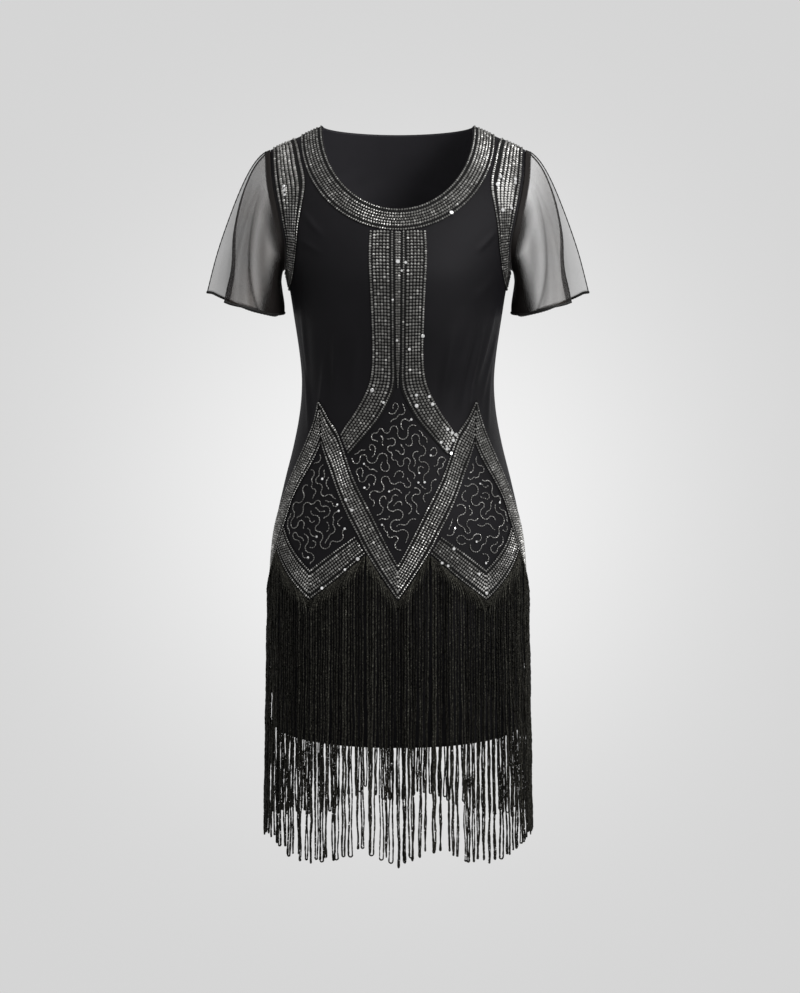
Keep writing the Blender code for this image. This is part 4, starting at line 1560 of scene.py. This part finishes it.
            # A few random beads are painted much lighter as glints.
            tones = np.clip(tones + (rng.random(count) > self.dull_share) * self.glint, 0.0, 1.0)
            part.repeat(*sewn(BeadShape.ROUND, points, heading, out_unit, sizes, tilts), 0, tones)
            count_all += count
            if rng.random() < self.sequin_share:
                end = [-1 if rng.random() < 0.5 else 0]
                size = np.full((1, 3), rng.uniform(0.0026, 0.0034))
                tilt = np.radians(rng.uniform(-15, 20, 1))
                place = points[end] + out[end] * self.sequin_lift
                part.repeat(*sewn(BeadShape.DISC, place, heading[end], out_unit[end], size, tilt), 1,
                            np.array([self.sequin_tone]))
        log.info("meander %s: %d beads", self.name, count_all)
        return part.build(f"meander_{self.name}", "beadwork", [glass, foil], smooth=False)


class SequinSpot(NamedTuple):
    """Loose sequin on the front: degrees round the body, height and width."""

    around: float
    height: float
    width: float


SEQUINS = table_of(
    SequinSpot, (11.8, -0.2768, 0.005), (5.2, -0.294, 0.004), (-0.3, -0.2824, 0.0034),
    (-13.0, -0.3483, 0.0052), (-6.8, -0.3645, 0.0036), (9.1, -0.3549, 0.004), (9.1, -0.369, 0.0052),
    (16.2, -0.3568, 0.004), (18.0, -0.367, 0.0048), (26.3, -0.401, 0.0046), (28.9, -0.4059, 0.0048),
    (31.2, -0.4085, 0.005), (29.2, -0.416, 0.0044), (21.7, -0.418, 0.0042), (24.8, -0.427, 0.0048),
    (27.0, -0.4328, 0.004), (23.4, -0.5579, 0.0044), (35.8, -0.5931, 0.0042), (39.9, -0.62, 0.0044),
    (17.6, -0.576, 0.004), (20.3, -0.58, 0.004), (46.0, -0.0705, 0.0052), (56.7, -0.0733, 0.005),
    (56.7, -0.078, 0.005), (44.2, -0.0815, 0.0056), (48.5, -0.1143, 0.0056), (54.7, -0.1113, 0.0046),
    (-54.2, -0.0828, 0.0044), (-53.9, -0.0882, 0.0046), (-53.7, -0.0942, 0.0044), (21.1, -0.119, 0.0056),
    (38.0, -0.045, 0.0036), (0.0, -0.1818, 0.0056), (2.9, -0.1831, 0.0042), (1.4, -0.1934, 0.0032),
    (-23.4, -0.4936, 0.0042), (-19.9, -0.5071, 0.004), (-15.9, -0.5705, 0.0052), (-32.6, -0.6114, 0.0044),
    (-21.5, -0.585, 0.0036), (-2.0, -0.23, 0.003))
SEQUINS_BACK = tuple(spot for spot in SEQUINS[16:30:2] if abs(spot.around) > 16.0)


@dataclass
class LooseSequins:
    """Flat silver sequins sewn here and there over the bands."""

    side: Side
    spots: tuple[SequinSpot, ...]
    lift: float = 0.0036
    turn_noise: float = 0.3

    def build(self, foil: Material) -> Made:
        """Sews the sequins on.

        Args:
            foil: their finish.

        Returns:
            The sequins, in one piece.
        """
        rng = np.random.default_rng(90 + self.side.value)
        turns, height, width = np.array(self.spots).T
        count = len(turns)
        around = turns if self.side is Side.FRONT else 180.0 - turns
        heading = np.array([0.0, 0.0, -1.0]) + rng.normal(0.0, self.turn_noise, (count, 3))
        sizes = np.repeat(width[:, None], 3, axis=1)
        tilts = np.radians(rng.uniform(-10.0, 14.0, count))
        pattern, placed = sewn(BeadShape.DISC, FORM.on_cloth(around, height, self.lift), heading,
                               FORM.facing(around, height), sizes, tilts)
        part = Assembly()
        part.repeat(pattern, placed, 0, rng.uniform(0.6, 1.0, count))
        log.info("loose sequins: %d", count)
        return part.build(f"loose_sequins_{self.side.name.lower()}", "beadwork", [foil], smooth=False)


# Sleeves


class Zone(NamedTuple):
    """Strip of denser net along an edge: how dense it is, how far it reaches and how soon it fades."""

    density: float
    reach: float
    fade: float

    def at(self, distance: Array) -> Array:
        """Density at distances from the edge."""
        return self.density * (1.0 - ramp((distance - self.reach) / self.fade))


class PetalEdge(NamedTuple):
    """Edge of a petal where the two overlap, as shares of the way round the sleeve, with its folded strip."""

    start: float
    top: float
    hem: float
    opening: float
    haste: float
    folded: Zone
    widening: float


PETAL_EDGES = {
    Side.FRONT: PetalEdge(0.004, 0.497, 0.338, 0.20, 1.56, Zone(0.62, 0.0034, 0.0012), 0.0052),
    Side.BACK: PetalEdge(0.996, 0.503, 0.47, 0.0, 1.0, Zone(0.45, 0.0022, 0.0012), 0.0),
}


class NetFold(NamedTuple):
    """Soft fold in the net from one share round and down the sleeve to another, and how much denser it is."""

    start: float
    start_down: float
    end: float
    end_down: float
    half_width: float
    density: float


NET_FOLDS = table_of(
    NetFold, (0.372, 0.18, 0.178, 1.0, 0.0026, 0.42), (0.38, 0.18, 0.19, 1.0, 0.009, 0.18),
    (0.345, 0.35, 0.245, 1.0, 0.006, 0.12), (0.26, 0.25, 0.14, 1.0, 0.01, 0.22),
    (0.4, 0.1, 0.32, 0.8, 0.004, 0.14), (0.4, 0.02, 0.25, 0.6, 0.016, -0.1),
    (0.59, 0.1, 0.74, 1.0, 0.02, -0.06), (0.62, 0.15, 0.76, 1.0, 0.005, 0.26),
    (0.7, 0.25, 0.86, 1.0, 0.01, 0.2), (0.56, 0.3, 0.66, 1.0, 0.007, 0.12),
    (0.6, 0.00, 0.64, 1.0, 0.03, 0.12))


@dataclass
class Petal:
    """Front or back petal of a flutter sleeve, in sheer net with a rolled edge.

    s is a share of the way round the sleeve, from the underarm by the front, and t a share down it.
    """

    hand: Hand
    side: Side
    fullness: float
    cap_clear: float
    columns: int = 96
    rows: int = 60
    row_power: float = 1.12
    column_power: float = 1.3
    cloth: float = 0.0005
    sunk: float = 0.0002
    inner: float = 0.157
    outer: float = 0.2575
    half_depth: float = 0.072
    hem_inner: float = -0.256
    hem_outer: float = -0.222
    back_drop: float = 0.0115
    back_hem_power: float = 1.35
    lap: float = 0.0026
    waves: int = 5
    wave_rise: float = 0.003
    wave_start: float = 0.35
    fine_rise: float = 0.0007
    fine_waves: float = 13.0
    fine_drift: float = 0.8
    step: float = 0.004
    lap_hem_radius: float = 0.0009
    hem_radius: float = 0.0017
    hem_down: int = 90
    hem_across: int = 150
    corner_drop: float = 0.0026
    underarm_rise: float = 0.0070
    girth: float = 0.36
    seam: Zone = Zone(1.0, 0.0072, 0.0022)
    underarm: Zone = Zone(0.97, 0.038, 0.036)
    body_side: Zone = Zone(0.75, 0.007, 0.026)
    hem: Zone = Zone(0.45, 0.0022, 0.0012)

    def base(self, s: Array, t: Array) -> Array:
        """Places points of a left sleeve before its flutes."""
        s, t = np.broadcast_arrays(s, t)
        sweep = FULL_TURN * s
        low = (1.0 + np.cos(sweep)) / 2
        front = -np.sin(sweep)
        pair = armhole(1.0 - np.abs(2.0 * s - 1.0))
        ring = FORM.skin(np.where(s <= 0.5, -1, 1), pair[..., 0], pair[..., 1])

        def vector(x: Array | float, y: Array | float, z: Array | float) -> Array:
            """Stacks three coordinates."""
            return np.stack(np.broadcast_arrays(x, y, z, s)[:3], axis=-1)

        def mixed(top: float, underarm: float) -> Array:
            """Value between the top of the sleeve and the underarm."""
            return top + (underarm - top) * low

        start = ring + vector(0.0007 + 0.0006 * low, 0.0, 0.0004 * low)
        if self.side is Side.FRONT:
            hem = mixed(self.hem_outer, self.hem_inner) - self.corner_drop * ramp((s - 0.2) / 0.12)
        else:
            hem = self.hem_outer + (self.hem_inner - self.hem_outer) * low ** self.back_hem_power
        end = vector((self.outer + self.inner) / 2 - (self.outer - self.inner) / 2 * np.cos(sweep),
                     self.half_depth * front,
                     hem + self.underarm_rise * low ** 14 - self.back_drop * np.maximum(front, 0.0) ** 2)
        out = vector(1.0, 0.35 * front, -mixed(0.25, 0.45)) * mixed(0.032, 0.012)[..., None]
        down = vector(0.22, 0.12 * front, -0.97) * mixed(0.075, 0.015)[..., None]
        one, two, t = start + out, end - down, t[..., None]
        return start * (1 - t) ** 3 + one * 3 * t * (1 - t) ** 2 + two * 3 * t * t * (1 - t) + end * t ** 3

    def point(self, s: Array, t: Array, lift: Array | float) -> Array:
        """Places points of the sleeve with its flutes and fine folds."""
        around = self.base(s + self.step, t) - self.base(s - self.step, t)
        down = self.base(s, np.minimum(t + self.step, 1.0)) - self.base(s, np.maximum(t - self.step, 0.0))
        wave = self.wave_rise * t * t * np.cos(FULL_TURN * (self.waves * s + self.wave_start))
        drift = self.fine_drift * np.sin(3.0 * t)
        fine = self.fine_rise * t * np.sin(FULL_TURN * (self.fine_waves * s + drift)) * np.sin(math.pi * t)
        placed = self.base(s, t) + unit(np.cross(around, down)) * (wave + fine + lift)[..., None]
        placed[..., 0] *= self.hand.value
        return placed

    def shares(self, u: Array, t: Array) -> Array:
        """Shares of the way round the sleeve, of places across the petal."""
        edge = PETAL_EDGES[self.side]
        lap = edge.top + (edge.hem - edge.top) * ramp((t - edge.opening) * edge.haste)
        return edge.start + (lap - edge.start) * (1.0 - (1.0 - u) ** self.column_power)

    def lifted(self, s: Array, t: Array) -> Array:
        """How far the front petal lies over the back one."""
        if self.side is Side.BACK:
            return np.zeros(np.broadcast(s, t).shape)
        return self.lap * ramp((s - 0.15) / 0.15) * ramp(t / 0.1)

    def surface(self, u: Array, t: Array, lift: float) -> Array:
        """Points across the petal and down it."""
        s = self.shares(u, t)
        return self.point(s, t, self.lifted(s, t) + lift)

    def density(self, s: Array, t: Array, placed: Array) -> Array:
        """Works out how dense the net is, 1 in the seam and where it is gathered, 0 where it is single.

        Args:
            s: shares round the sleeve.
            t: shares down it.
            placed: places of the same points.

        Returns:
            The densities, by column and row.
        """
        from_seam = np.linalg.norm(placed - placed[:, :1], axis=2)
        from_edge = np.linalg.norm(placed - placed[-1:], axis=2)
        from_hem = np.linalg.norm(placed - placed[:, -1:], axis=2)
        from_underarm = np.minimum(s, 1.0 - s)
        edge = PETAL_EDGES[self.side]
        total = np.maximum(self.seam.at(from_seam), self.underarm.at(from_underarm * self.girth))
        total = np.maximum(total, self.body_side.at(from_seam) * ramp((0.36 - from_underarm) / 0.14))
        total = np.maximum(total, edge.folded.at(from_edge - edge.widening * t) * (t > 0.1))
        total = np.maximum(total, self.hem.at(from_hem))
        for fold in NET_FOLDS:
            share = (t - fold.start_down) / (fold.end_down - fold.start_down)
            off = (s - fold.start - (fold.end - fold.start) * share) * self.girth
            fade = np.sin(math.pi * np.clip(share * 0.62 + 0.05, 0.0, 1.0)) ** 0.7 * (share > 0.0)
            total = total + self.fullness * fold.density * np.exp(-(off / fold.half_width) ** 2) * fade
        total = total - self.cap_clear * (1.0 - ramp((t - 0.08) / 0.40)) * (total < 0.5)
        return np.clip(total, -0.25, 1.0)

    def roll_hem(self, part: Assembly) -> None:
        """Adds the thread rolled round the two free edges of the petal."""
        edge_u = np.concatenate([np.ones(self.hem_down), np.linspace(1.0, 0.0, self.hem_across)[1:]])
        edge_t = np.concatenate([np.linspace(0.05, 1.0, self.hem_down), np.ones(self.hem_across - 1)])
        line = self.surface(edge_u, edge_t, -2.0 * self.sunk)
        out = unit(self.surface(edge_u, edge_t, 0.002) - line)
        steps = np.arange(len(line))
        radius = np.where(steps < self.hem_down, self.lap_hem_radius, self.hem_radius)
        radius = (radius * (1.0 + 0.16 * np.sin(steps * 1.9)))[None]
        part.repeat(*tubes(line[None], out[None], radius, radius * 0.8, 0.0, 8), 1, np.array([0.5]))

    def build(self, net: Material, hem: Material) -> Made:
        """Makes the petal and its rolled edge.

        Args:
            net: finish of the net.
            hem: finish of the rolled edge.

        Returns:
            The petal.
        """
        u = np.linspace(0.0, 1.0, self.columns + 1)[:, None]
        t = np.linspace(0.0, 1.0, self.rows + 1)[None, :] ** self.row_power
        outer, inner = (self.surface(u, t, lift) for lift in (-self.sunk, -self.sunk - self.cloth))
        wall = grid_wall(outer, inner)
        density = self.density(self.shares(u, t), t, outer)
        part = Assembly()
        part.add_wall(wall, 0, density[wall.spots[:, 0], wall.spots[:, 1]])
        self.roll_hem(part)
        name = f"{self.hand.name.lower()}_{self.side.name.lower()}"
        return part.build(f"net_sleeve_{name}", "net", [net, hem], [f"sleeve_{name}"])


# Fringe


class RootPoint(NamedTuple):
    """Corner of the zigzag from which the fringe hangs, and the height of the fringe's ends below it."""

    around: float
    height: float
    tip: float


VALLEY_GAP = 0.35
ROOTS_CENTRE = (
    RootPoint(-12.4 + VALLEY_GAP, -0.5640, -0.961),
    RootPoint(0.0, -0.6260, -0.984),
    RootPoint(12.4 - VALLEY_GAP, -0.5640, -0.961),
)
ROOTS_LOW_V = (
    RootPoint(12.4 + VALLEY_GAP, -0.5650, -0.959),
    RootPoint(25.1, -0.5980, -0.977),
    RootPoint(40.1, -0.6302, -0.987),
    RootPoint(58.6, -0.5945, -0.976),
    RootPoint(70.6 - VALLEY_GAP, -0.5700, -0.965),
)
ROOTS_SIDE = (
    RootPoint(70.6 + VALLEY_GAP, -0.5700, -0.965),
    RootPoint(78.0, -0.5955, -0.969),
    RootPoint(90.0, -0.6290, -0.972),
    RootPoint(102.0, -0.5955, -0.967),
    RootPoint(109.4 - VALLEY_GAP, -0.5700, -0.962),
)


@dataclass
class Fringe:
    """Section of fringe: looped yarns that leave the band's edge along it and then hang straight."""

    roots: tuple[RootPoint, ...]
    seed: int
    pitch: float = 0.0037
    half_wide: float = 0.00140
    half_thick: float = 0.00105
    top_rings: int = 18
    fall_rings: int = 112
    loop_rings: int = 9
    sides: int = 4
    lead: float = 0.013
    first_drop: float = 0.0022
    bend_drop: float = 0.0090
    end_drop: float = 0.012
    knee: float = -0.622
    lowest: float = -0.975
    top_lift: float = 0.0021
    top_rise: float = 0.0022
    stand_off: float = 0.0030
    layers: float = 0.0016
    flare: float = 0.0086
    tip_noise: float = 0.0030
    back_rise: float = 0.004
    sway: float = 0.0006
    clusters: int = 9
    cluster_lean: float = 0.0020
    loop_lean: float = 0.0017
    own_lean: float = 0.0007
    lean_power: float = 1.7
    closing: float = 0.0013
    wave_rise: float = 0.0007
    wave_length: float = 0.11
    twist_pitch: float = 0.016
    swell: float = 0.12
    swell_length: float = 0.031
    loop_depth: float = 0.0016
    header_cords: int = 4
    header_steps: int = 90
    header_pitch: float = 0.0023
    header_half_wide: float = 0.0010

    def turned(self) -> Fringe:
        """Same section at the back."""
        roots = tuple(RootPoint(180.0 - r.around, r.height, r.tip + self.back_rise) for r in self.roots[::-1])
        return Fringe(roots, self.seed + 20)

    def other_hand(self) -> Fringe:
        """Same section on the wearer's right."""
        roots = tuple(RootPoint(-r.around, r.height, r.tip) for r in self.roots[::-1])
        return Fringe(roots, self.seed + 7)

    def root_at(self, around: Array) -> tuple[Array, Array]:
        """Heights of the zigzag and of the fringe's ends at angles round the body."""
        turns, height, tip = np.array(self.roots).T
        return np.interp(around, turns, height), np.interp(around, turns, tip)

    def stations(self) -> Array:
        """Spreads the yarns over the section.

        Returns:
            Their angles, a pitch apart along the hip.
        """
        turns = np.linspace(self.roots[0].around, self.roots[-1].around, 200)
        along = lengths_along(FORM.on_cloth(turns, np.full(len(turns), self.knee)))
        count = max(2 * round(along[-1] / self.pitch / 2), 2)
        return np.interp((np.arange(count) + 0.5) * along[-1] / count, along, turns)

    def top(self, turns: Array, first: Array, bend: Array, layer: Array) -> Array:
        """Lays the upper ends of the yarns along the band's edge and bends them down.

        Args:
            turns: angles at which the yarns hang.
            first: angles at which they leave the edge.
            bend: heights of their bends.
            layer: how far each stands out from the others.

        Returns:
            Points by yarn and ring.
        """
        t = np.linspace(0.0, 1.0, self.top_rings)[None, :]
        start, middle, end = (1 - t) ** 2, 2 * t * (1 - t), t ** 2
        around = start * first[:, None] + middle * turns[:, None] + end * turns[:, None]
        leave = self.root_at(first)[0] - self.first_drop
        height = start * leave[:, None] + middle * bend[:, None] + end * (bend - self.end_drop)[:, None]
        return FORM.on_cloth(around, height, self.top_lift + self.top_rise * t + layer * t)

    def legs(self, rng: Chance) -> Array:
        """Lays out the yarns, from the band down to their ends.

        Args:
            rng: source of chance.

        Returns:
            Points by yarn and ring.
        """
        turns = self.stations()
        count = len(turns)
        loops = count // 2
        root, tip = self.root_at(turns)
        slope = (self.root_at(turns + 0.4)[0] - self.root_at(turns - 0.4)[0]) / 0.8
        scale = np.linalg.norm(FORM.on_cloth(turns + 0.5, root) - FORM.on_cloth(turns - 0.5, root), axis=1)
        lead = self.lead / scale / np.sqrt(1.0 + (slope / scale) ** 2)
        low, high = self.roots[0].around, self.roots[-1].around
        first = np.clip(turns + np.sign(slope) * lead, low + 0.1, high - 0.1)
        bend = root - self.bend_drop
        layer = rng.uniform(0.0, self.layers, count)[:, None]
        tip = np.repeat(tip[::2] + rng.normal(0.0, self.tip_noise, loops), 2) + self.loop_depth
        start = bend - self.end_drop
        share = np.linspace(0.0, 1.0, self.fall_rings + 1)[None, 1:]
        height = start[:, None] + (tip - start)[:, None] * share
        spread = np.clip((self.knee - height) / (self.knee - self.lowest), 0.0, 1.0)
        phase = rng.uniform(0.0, FULL_TURN, count)[:, None]
        pace = rng.uniform(0.050, 0.110, count)[:, None]
        sway = self.sway * np.sin(FULL_TURN * height / pace + phase) * spread ** 0.5
        clusters = rng.normal(0.0, self.cluster_lean, self.clusters)
        cluster = np.interp(turns, np.linspace(low, high, self.clusters), clusters)
        own = np.repeat(rng.normal(0.0, self.loop_lean, loops), 2) + rng.normal(0.0, self.own_lean, count)
        lean = (cluster + own)[:, None] * spread ** self.lean_power
        squeeze = np.repeat(rng.uniform(0.1, 1.0, loops), 2) * np.tile([1.0, -1.0], loops)
        close = squeeze[:, None] * self.closing * ramp((spread - 0.15) / 0.6)
        sideways = (sway + lean + close) / scale[:, None]
        wave = self.wave_rise * np.sin(FULL_TURN * height / self.wave_length + phase)
        out = self.stand_off + layer + self.flare * spread + wave
        hang = FORM.on_cloth(turns[:, None] + sideways, np.maximum(height, self.knee), out)
        hang[..., 2] = height
        return np.concatenate([self.top(turns, first, bend, layer), hang], axis=1)

    def hang(self, part: Assembly, legs: Array, rng: Chance) -> None:
        """Adds the yarns, twisted and of uneven thickness."""
        count = len(legs)
        steps = np.linalg.norm(np.diff(legs, axis=1), axis=2)
        along = np.concatenate([np.zeros((count, 1)), np.cumsum(steps, axis=1)], axis=1)
        spin = FULL_TURN * along / self.twist_pitch + rng.uniform(0, FULL_TURN, (count, 1))
        size = rng.uniform(0.78, 1.28, (count, 1))
        phase = rng.uniform(0, 6.3, (count, 1))
        taper = size * (1.0 + self.swell * np.sin(FULL_TURN * along / self.swell_length + phase))
        pattern, placed = tubes(legs, legs * np.array([1.0, 1.0, 0.0]), self.half_wide * taper,
                                self.half_thick * taper, spin, self.sides)
        near_band = ramp((placed[..., 2] - legs[:, self.top_rings - 1, 2][:, None]) / 0.008)
        tones = rng.random(count)[:, None] * 0.9 + 0.30 * near_band
        part.repeat(pattern, placed, 0, np.clip(tones, 0.0, 1.0))

    def loop(self, part: Assembly, legs: Array, rng: Chance) -> None:
        """Adds the loops that join the yarns two by two at their ends."""
        left, right = legs[::2, -1], legs[1::2, -1]
        bend = np.linspace(0.0, math.pi, self.loop_rings)[None, :, None]
        middle, half = (left + right)[:, None] / 2, (left - right)[:, None] / 2
        depth = np.maximum(np.linalg.norm(half, axis=2, keepdims=True), self.loop_depth)
        loops = middle + half * np.cos(bend) + np.array([0.0, 0.0, -1.0]) * depth * np.sin(bend)
        out = np.broadcast_to(middle * np.array([1.0, 1.0, 0.0]), loops.shape)
        size = (self.half_wide + self.half_thick) / 2
        part.repeat(*tubes(loops, out, size, size, 0.0, self.sides), 0, rng.random(len(loops)))

    def head(self, part: Assembly) -> None:
        """Adds the cords that the yarns leave from, and the tape behind them."""
        turns = np.linspace(self.roots[0].around, self.roots[-1].around, self.header_steps)
        root = self.root_at(turns)[0]
        facing = FORM.facing(turns, root)
        cords = np.stack([FORM.on_cloth(turns, root - 0.0016 - self.header_pitch * k, 0.0019)
                          for k in range(self.header_cords)])
        size = self.header_half_wide
        spin = np.linspace(0, 60, self.header_steps)
        outs = np.stack([facing] * self.header_cords)
        tones = np.full(self.header_cords, 0.6)
        part.repeat(*tubes(cords, outs, size, size * 0.8, spin, self.sides), 0, tones)
        backing = [FORM.on_cloth(turns, root - 0.0018 - depth, 0.0) for depth in (0.0, 0.005, 0.010)]
        outer, inner = (np.stack([line + facing * lift for line in backing], axis=1)
                        for lift in (0.0012, 0.0007))
        part.add_wall(grid_wall(outer, inner))

    def build(self, name: str, yarn: Material) -> Made:
        """Makes the section.

        Args:
            name: the section of the construction that it replaces.
            yarn: finish of the yarns.

        Returns:
            The section.
        """
        rng = np.random.default_rng(self.seed)
        legs = self.legs(rng)
        part = Assembly()
        self.hang(part, legs, rng)
        self.loop(part, legs, rng)
        self.head(part)
        log.info("%s: %d yarns", name, len(legs))
        return part.build(f"looped_{name}", "fringe", [yarn], [name])


# Studio


class Lamp(NamedTuple):
    """Soft lamp: its name, place, aim, width and height, and power in watts."""

    name: str
    place: tuple[float, float, float]
    aim: tuple[float, float, float]
    size: tuple[float, float]
    watts: float

    def build(self) -> None:
        """Sets the lamp up."""
        light = bpy.data.lights.new(self.name, "AREA")
        light.shape = "RECTANGLE"
        light.size, light.size_y = self.size
        light.energy = self.watts
        lamp = bpy.data.objects.new(self.name, light)
        lamp.location = self.place
        lamp.rotation_euler = (Vector(self.aim) - Vector(self.place)).to_track_quat("-Z", "Y").to_euler()
        bpy.context.scene.collection.objects.link(lamp)


LAMPS = (
    Lamp("key", (1.9, -2.1, 1.0), (0.0, 0.0, -0.35), (1.0, 1.4), 58.0),
    Lamp("fill", (-2.0, -2.2, 0.5), (0.0, 0.0, -0.45), (1.2, 1.8), 5.0),
    Lamp("rim_left", (-1.9, 1.6, 0.5), (0.0, 0.0, -0.4), (0.9, 1.8), 3.0),
    Lamp("rim_right", (1.9, 1.6, 0.5), (0.0, 0.0, -0.4), (0.9, 1.8), 9.0),
    Lamp("top", (0.0, -0.6, 2.2), (0.0, 0.0, 0.0), (1.6, 1.2), 16.0),
)


@dataclass
class Studio:
    """Pale seamless paper, soft lights and the camera."""

    floor: float = -1.55
    radius: float = 5.5
    corner: float = 2.0
    corner_steps: int = 16
    wall: float = 7.0
    rounds: int = 72
    air: float = 0.33
    lens: float = 65.7
    sensor: float = 36.0
    farthest: float = 60.0
    pitch: float = 83.0

    def paper(self) -> None:
        """Spins the paper: a floor that curves up into a wall all round."""
        bm = bmesh.new()
        flat = self.radius - self.corner
        bends = [math.pi / 2 * k / self.corner_steps for k in range(1, self.corner_steps + 1)]
        profile = [(0.0, 0.0), (flat, 0.0)]
        profile += [(flat + self.corner * math.sin(a), self.corner * (1 - math.cos(a))) for a in bends]
        profile.append((self.radius, self.wall))
        verts = [bm.verts.new((x, 0.0, self.floor + z)) for x, z in profile]
        edges = [bm.edges.new(pair) for pair in zip(verts, verts[1:])]
        bmesh.ops.spin(bm, geom=verts + edges, cent=(0.0, 0.0, 0.0), axis=(0.0, 0.0, 1.0), angle=FULL_TURN,
                       steps=self.rounds, use_merge=True)
        bmesh.ops.remove_doubles(bm, verts=bm.verts, dist=1e-5)
        bmesh.ops.recalc_face_normals(bm, faces=bm.faces)
        mesh = bpy.data.meshes.new("studio_paper")
        bm.to_mesh(mesh)
        bm.free()
        mesh.shade_smooth()
        mesh.materials.append(Backdrop().material())
        paper = bpy.data.objects.new("studio_paper", mesh)
        bpy.context.scene.collection.objects.link(paper)
        paper.visible_diffuse = paper.visible_glossy = paper.visible_shadow = False
        paper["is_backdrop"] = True

    def light(self) -> None:
        """Sets the world and the lamps."""
        world = bpy.data.worlds.new("studio_air")
        world.use_nodes = True
        color, strength = world.node_tree.nodes["Background"].inputs[:2]
        color.default_value = (1.0, 1.0, 1.0, 1.0)
        strength.default_value = self.air
        bpy.context.scene.world = world
        for lamp in LAMPS:
            lamp.build()

    def camera(self) -> None:
        """Sets the camera at the photograph's place."""
        data = bpy.data.cameras.new("camera")
        data.lens = self.lens
        data.sensor_width = self.sensor
        data.clip_end = self.farthest
        made = bpy.data.objects.new("camera", data)
        made.location = VIEWPOINT
        made.rotation_euler = (math.radians(self.pitch), 0.0, 0.0)
        bpy.context.scene.collection.objects.link(made)
        bpy.context.scene.camera = made

    def build(self) -> None:
        """Sets the whole studio."""
        self.paper()
        self.light()
        self.camera()
        view = bpy.context.scene.view_settings
        view.view_transform = "Standard"
        view.look = "None"


def corners(box: Any) -> list[list[float]]:
    """A box as plain lists of numbers."""
    return [[float(value) for value in corner] for corner in box]


# Dress


# The net of the wearer's right sleeve, away from the key lamp, is given more cover so that it looks darker
# against the paper: painted shade on a copy of the same net.
NETS = {Hand.LEFT: Net("black_net", 0.155), Hand.RIGHT: Net("black_net_full", 0.265)}
FULLNESS = {Hand.LEFT: 0.6, Hand.RIGHT: 1.0}
CAP_CLEAR = {Hand.LEFT: 0.16, Hand.RIGHT: 0.05}


def build_fringe() -> None:
    """Makes the eight sections of fringe."""
    yarn = Yarn().material()
    low_v, side, centre = Fringe(ROOTS_LOW_V, 31), Fringe(ROOTS_SIDE, 41), Fringe(ROOTS_CENTRE, 51)
    sections = {
        "front_centre": centre, "back_centre": centre.turned(),
        "front_left": low_v, "front_right": low_v.other_hand(),
        "back_left": low_v.turned(), "back_right": low_v.turned().other_hand(),
        "side_left": side, "side_right": side.other_hand(),
    }
    for name, section in sections.items():
        section.build(f"fringe_{name}", yarn)


def main() -> None:
    """Builds the dress and its studio."""
    logging.basicConfig(level=logging.INFO, format="%(name)s: %(message)s")
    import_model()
    cad_box = corners(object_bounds())

    jersey = Jersey().material()
    # The inside of the jersey gets a much lighter base colour than the outside: painted light inside the
    # dress.
    inside_painted_light = Jersey("jersey_wrong_side", (0.034, 0.033, 0.037), (0.056, 0.054, 0.061), 0.2).material()
    panels = {side: BodyPanel(side).build(jersey, inside_painted_light) for side in Side}
    Seams().build(jersey)
    beadwork = Beadwork().build()
    bright = Glass("silver_beads", (0.15, 0.146, 0.138), (0.80, 0.79, 0.76), 0.34, 1.2).material()
    foil = Glass("silver_sequins", (0.85, 0.85, 0.84), (0.95, 0.95, 0.95), 0.12, 1.0).material()
    mirrored = tuple((-around, height) for around, height in DIAMOND_SIDE)
    diamonds = {"centre": DIAMOND_CENTRE, "left": DIAMOND_SIDE, "right": mirrored}
    meanders = [Meander(name, edge, seed).build(bright, foil)
                for seed, (name, edge) in enumerate(diamonds.items(), 11)]
    sequins = {side: LooseSequins(side, SEQUINS if side is Side.FRONT else SEQUINS_BACK).build(foil)
               for side in Side}

    nets = {hand: net.material() for hand, net in NETS.items()}
    hem = RolledHem().material()
    petals = {(hand, side): Petal(hand, side, FULLNESS[hand], CAP_CLEAR[hand]).build(nets[hand], hem)
              for hand in Hand for side in Side}
    build_fringe()

    for side, panel in panels.items():
        word = side.name.lower()
        trims = [band for band in beadwork if word in band.name.split("_")] + [sequins[side]]
        if side is Side.FRONT:
            trims += [band for band in beadwork if "placket" in band.name] + meanders

    Studio().build()
    {"cad": cad_box, "visual": corners(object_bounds())}


if __name__ == "__main__":
    main()
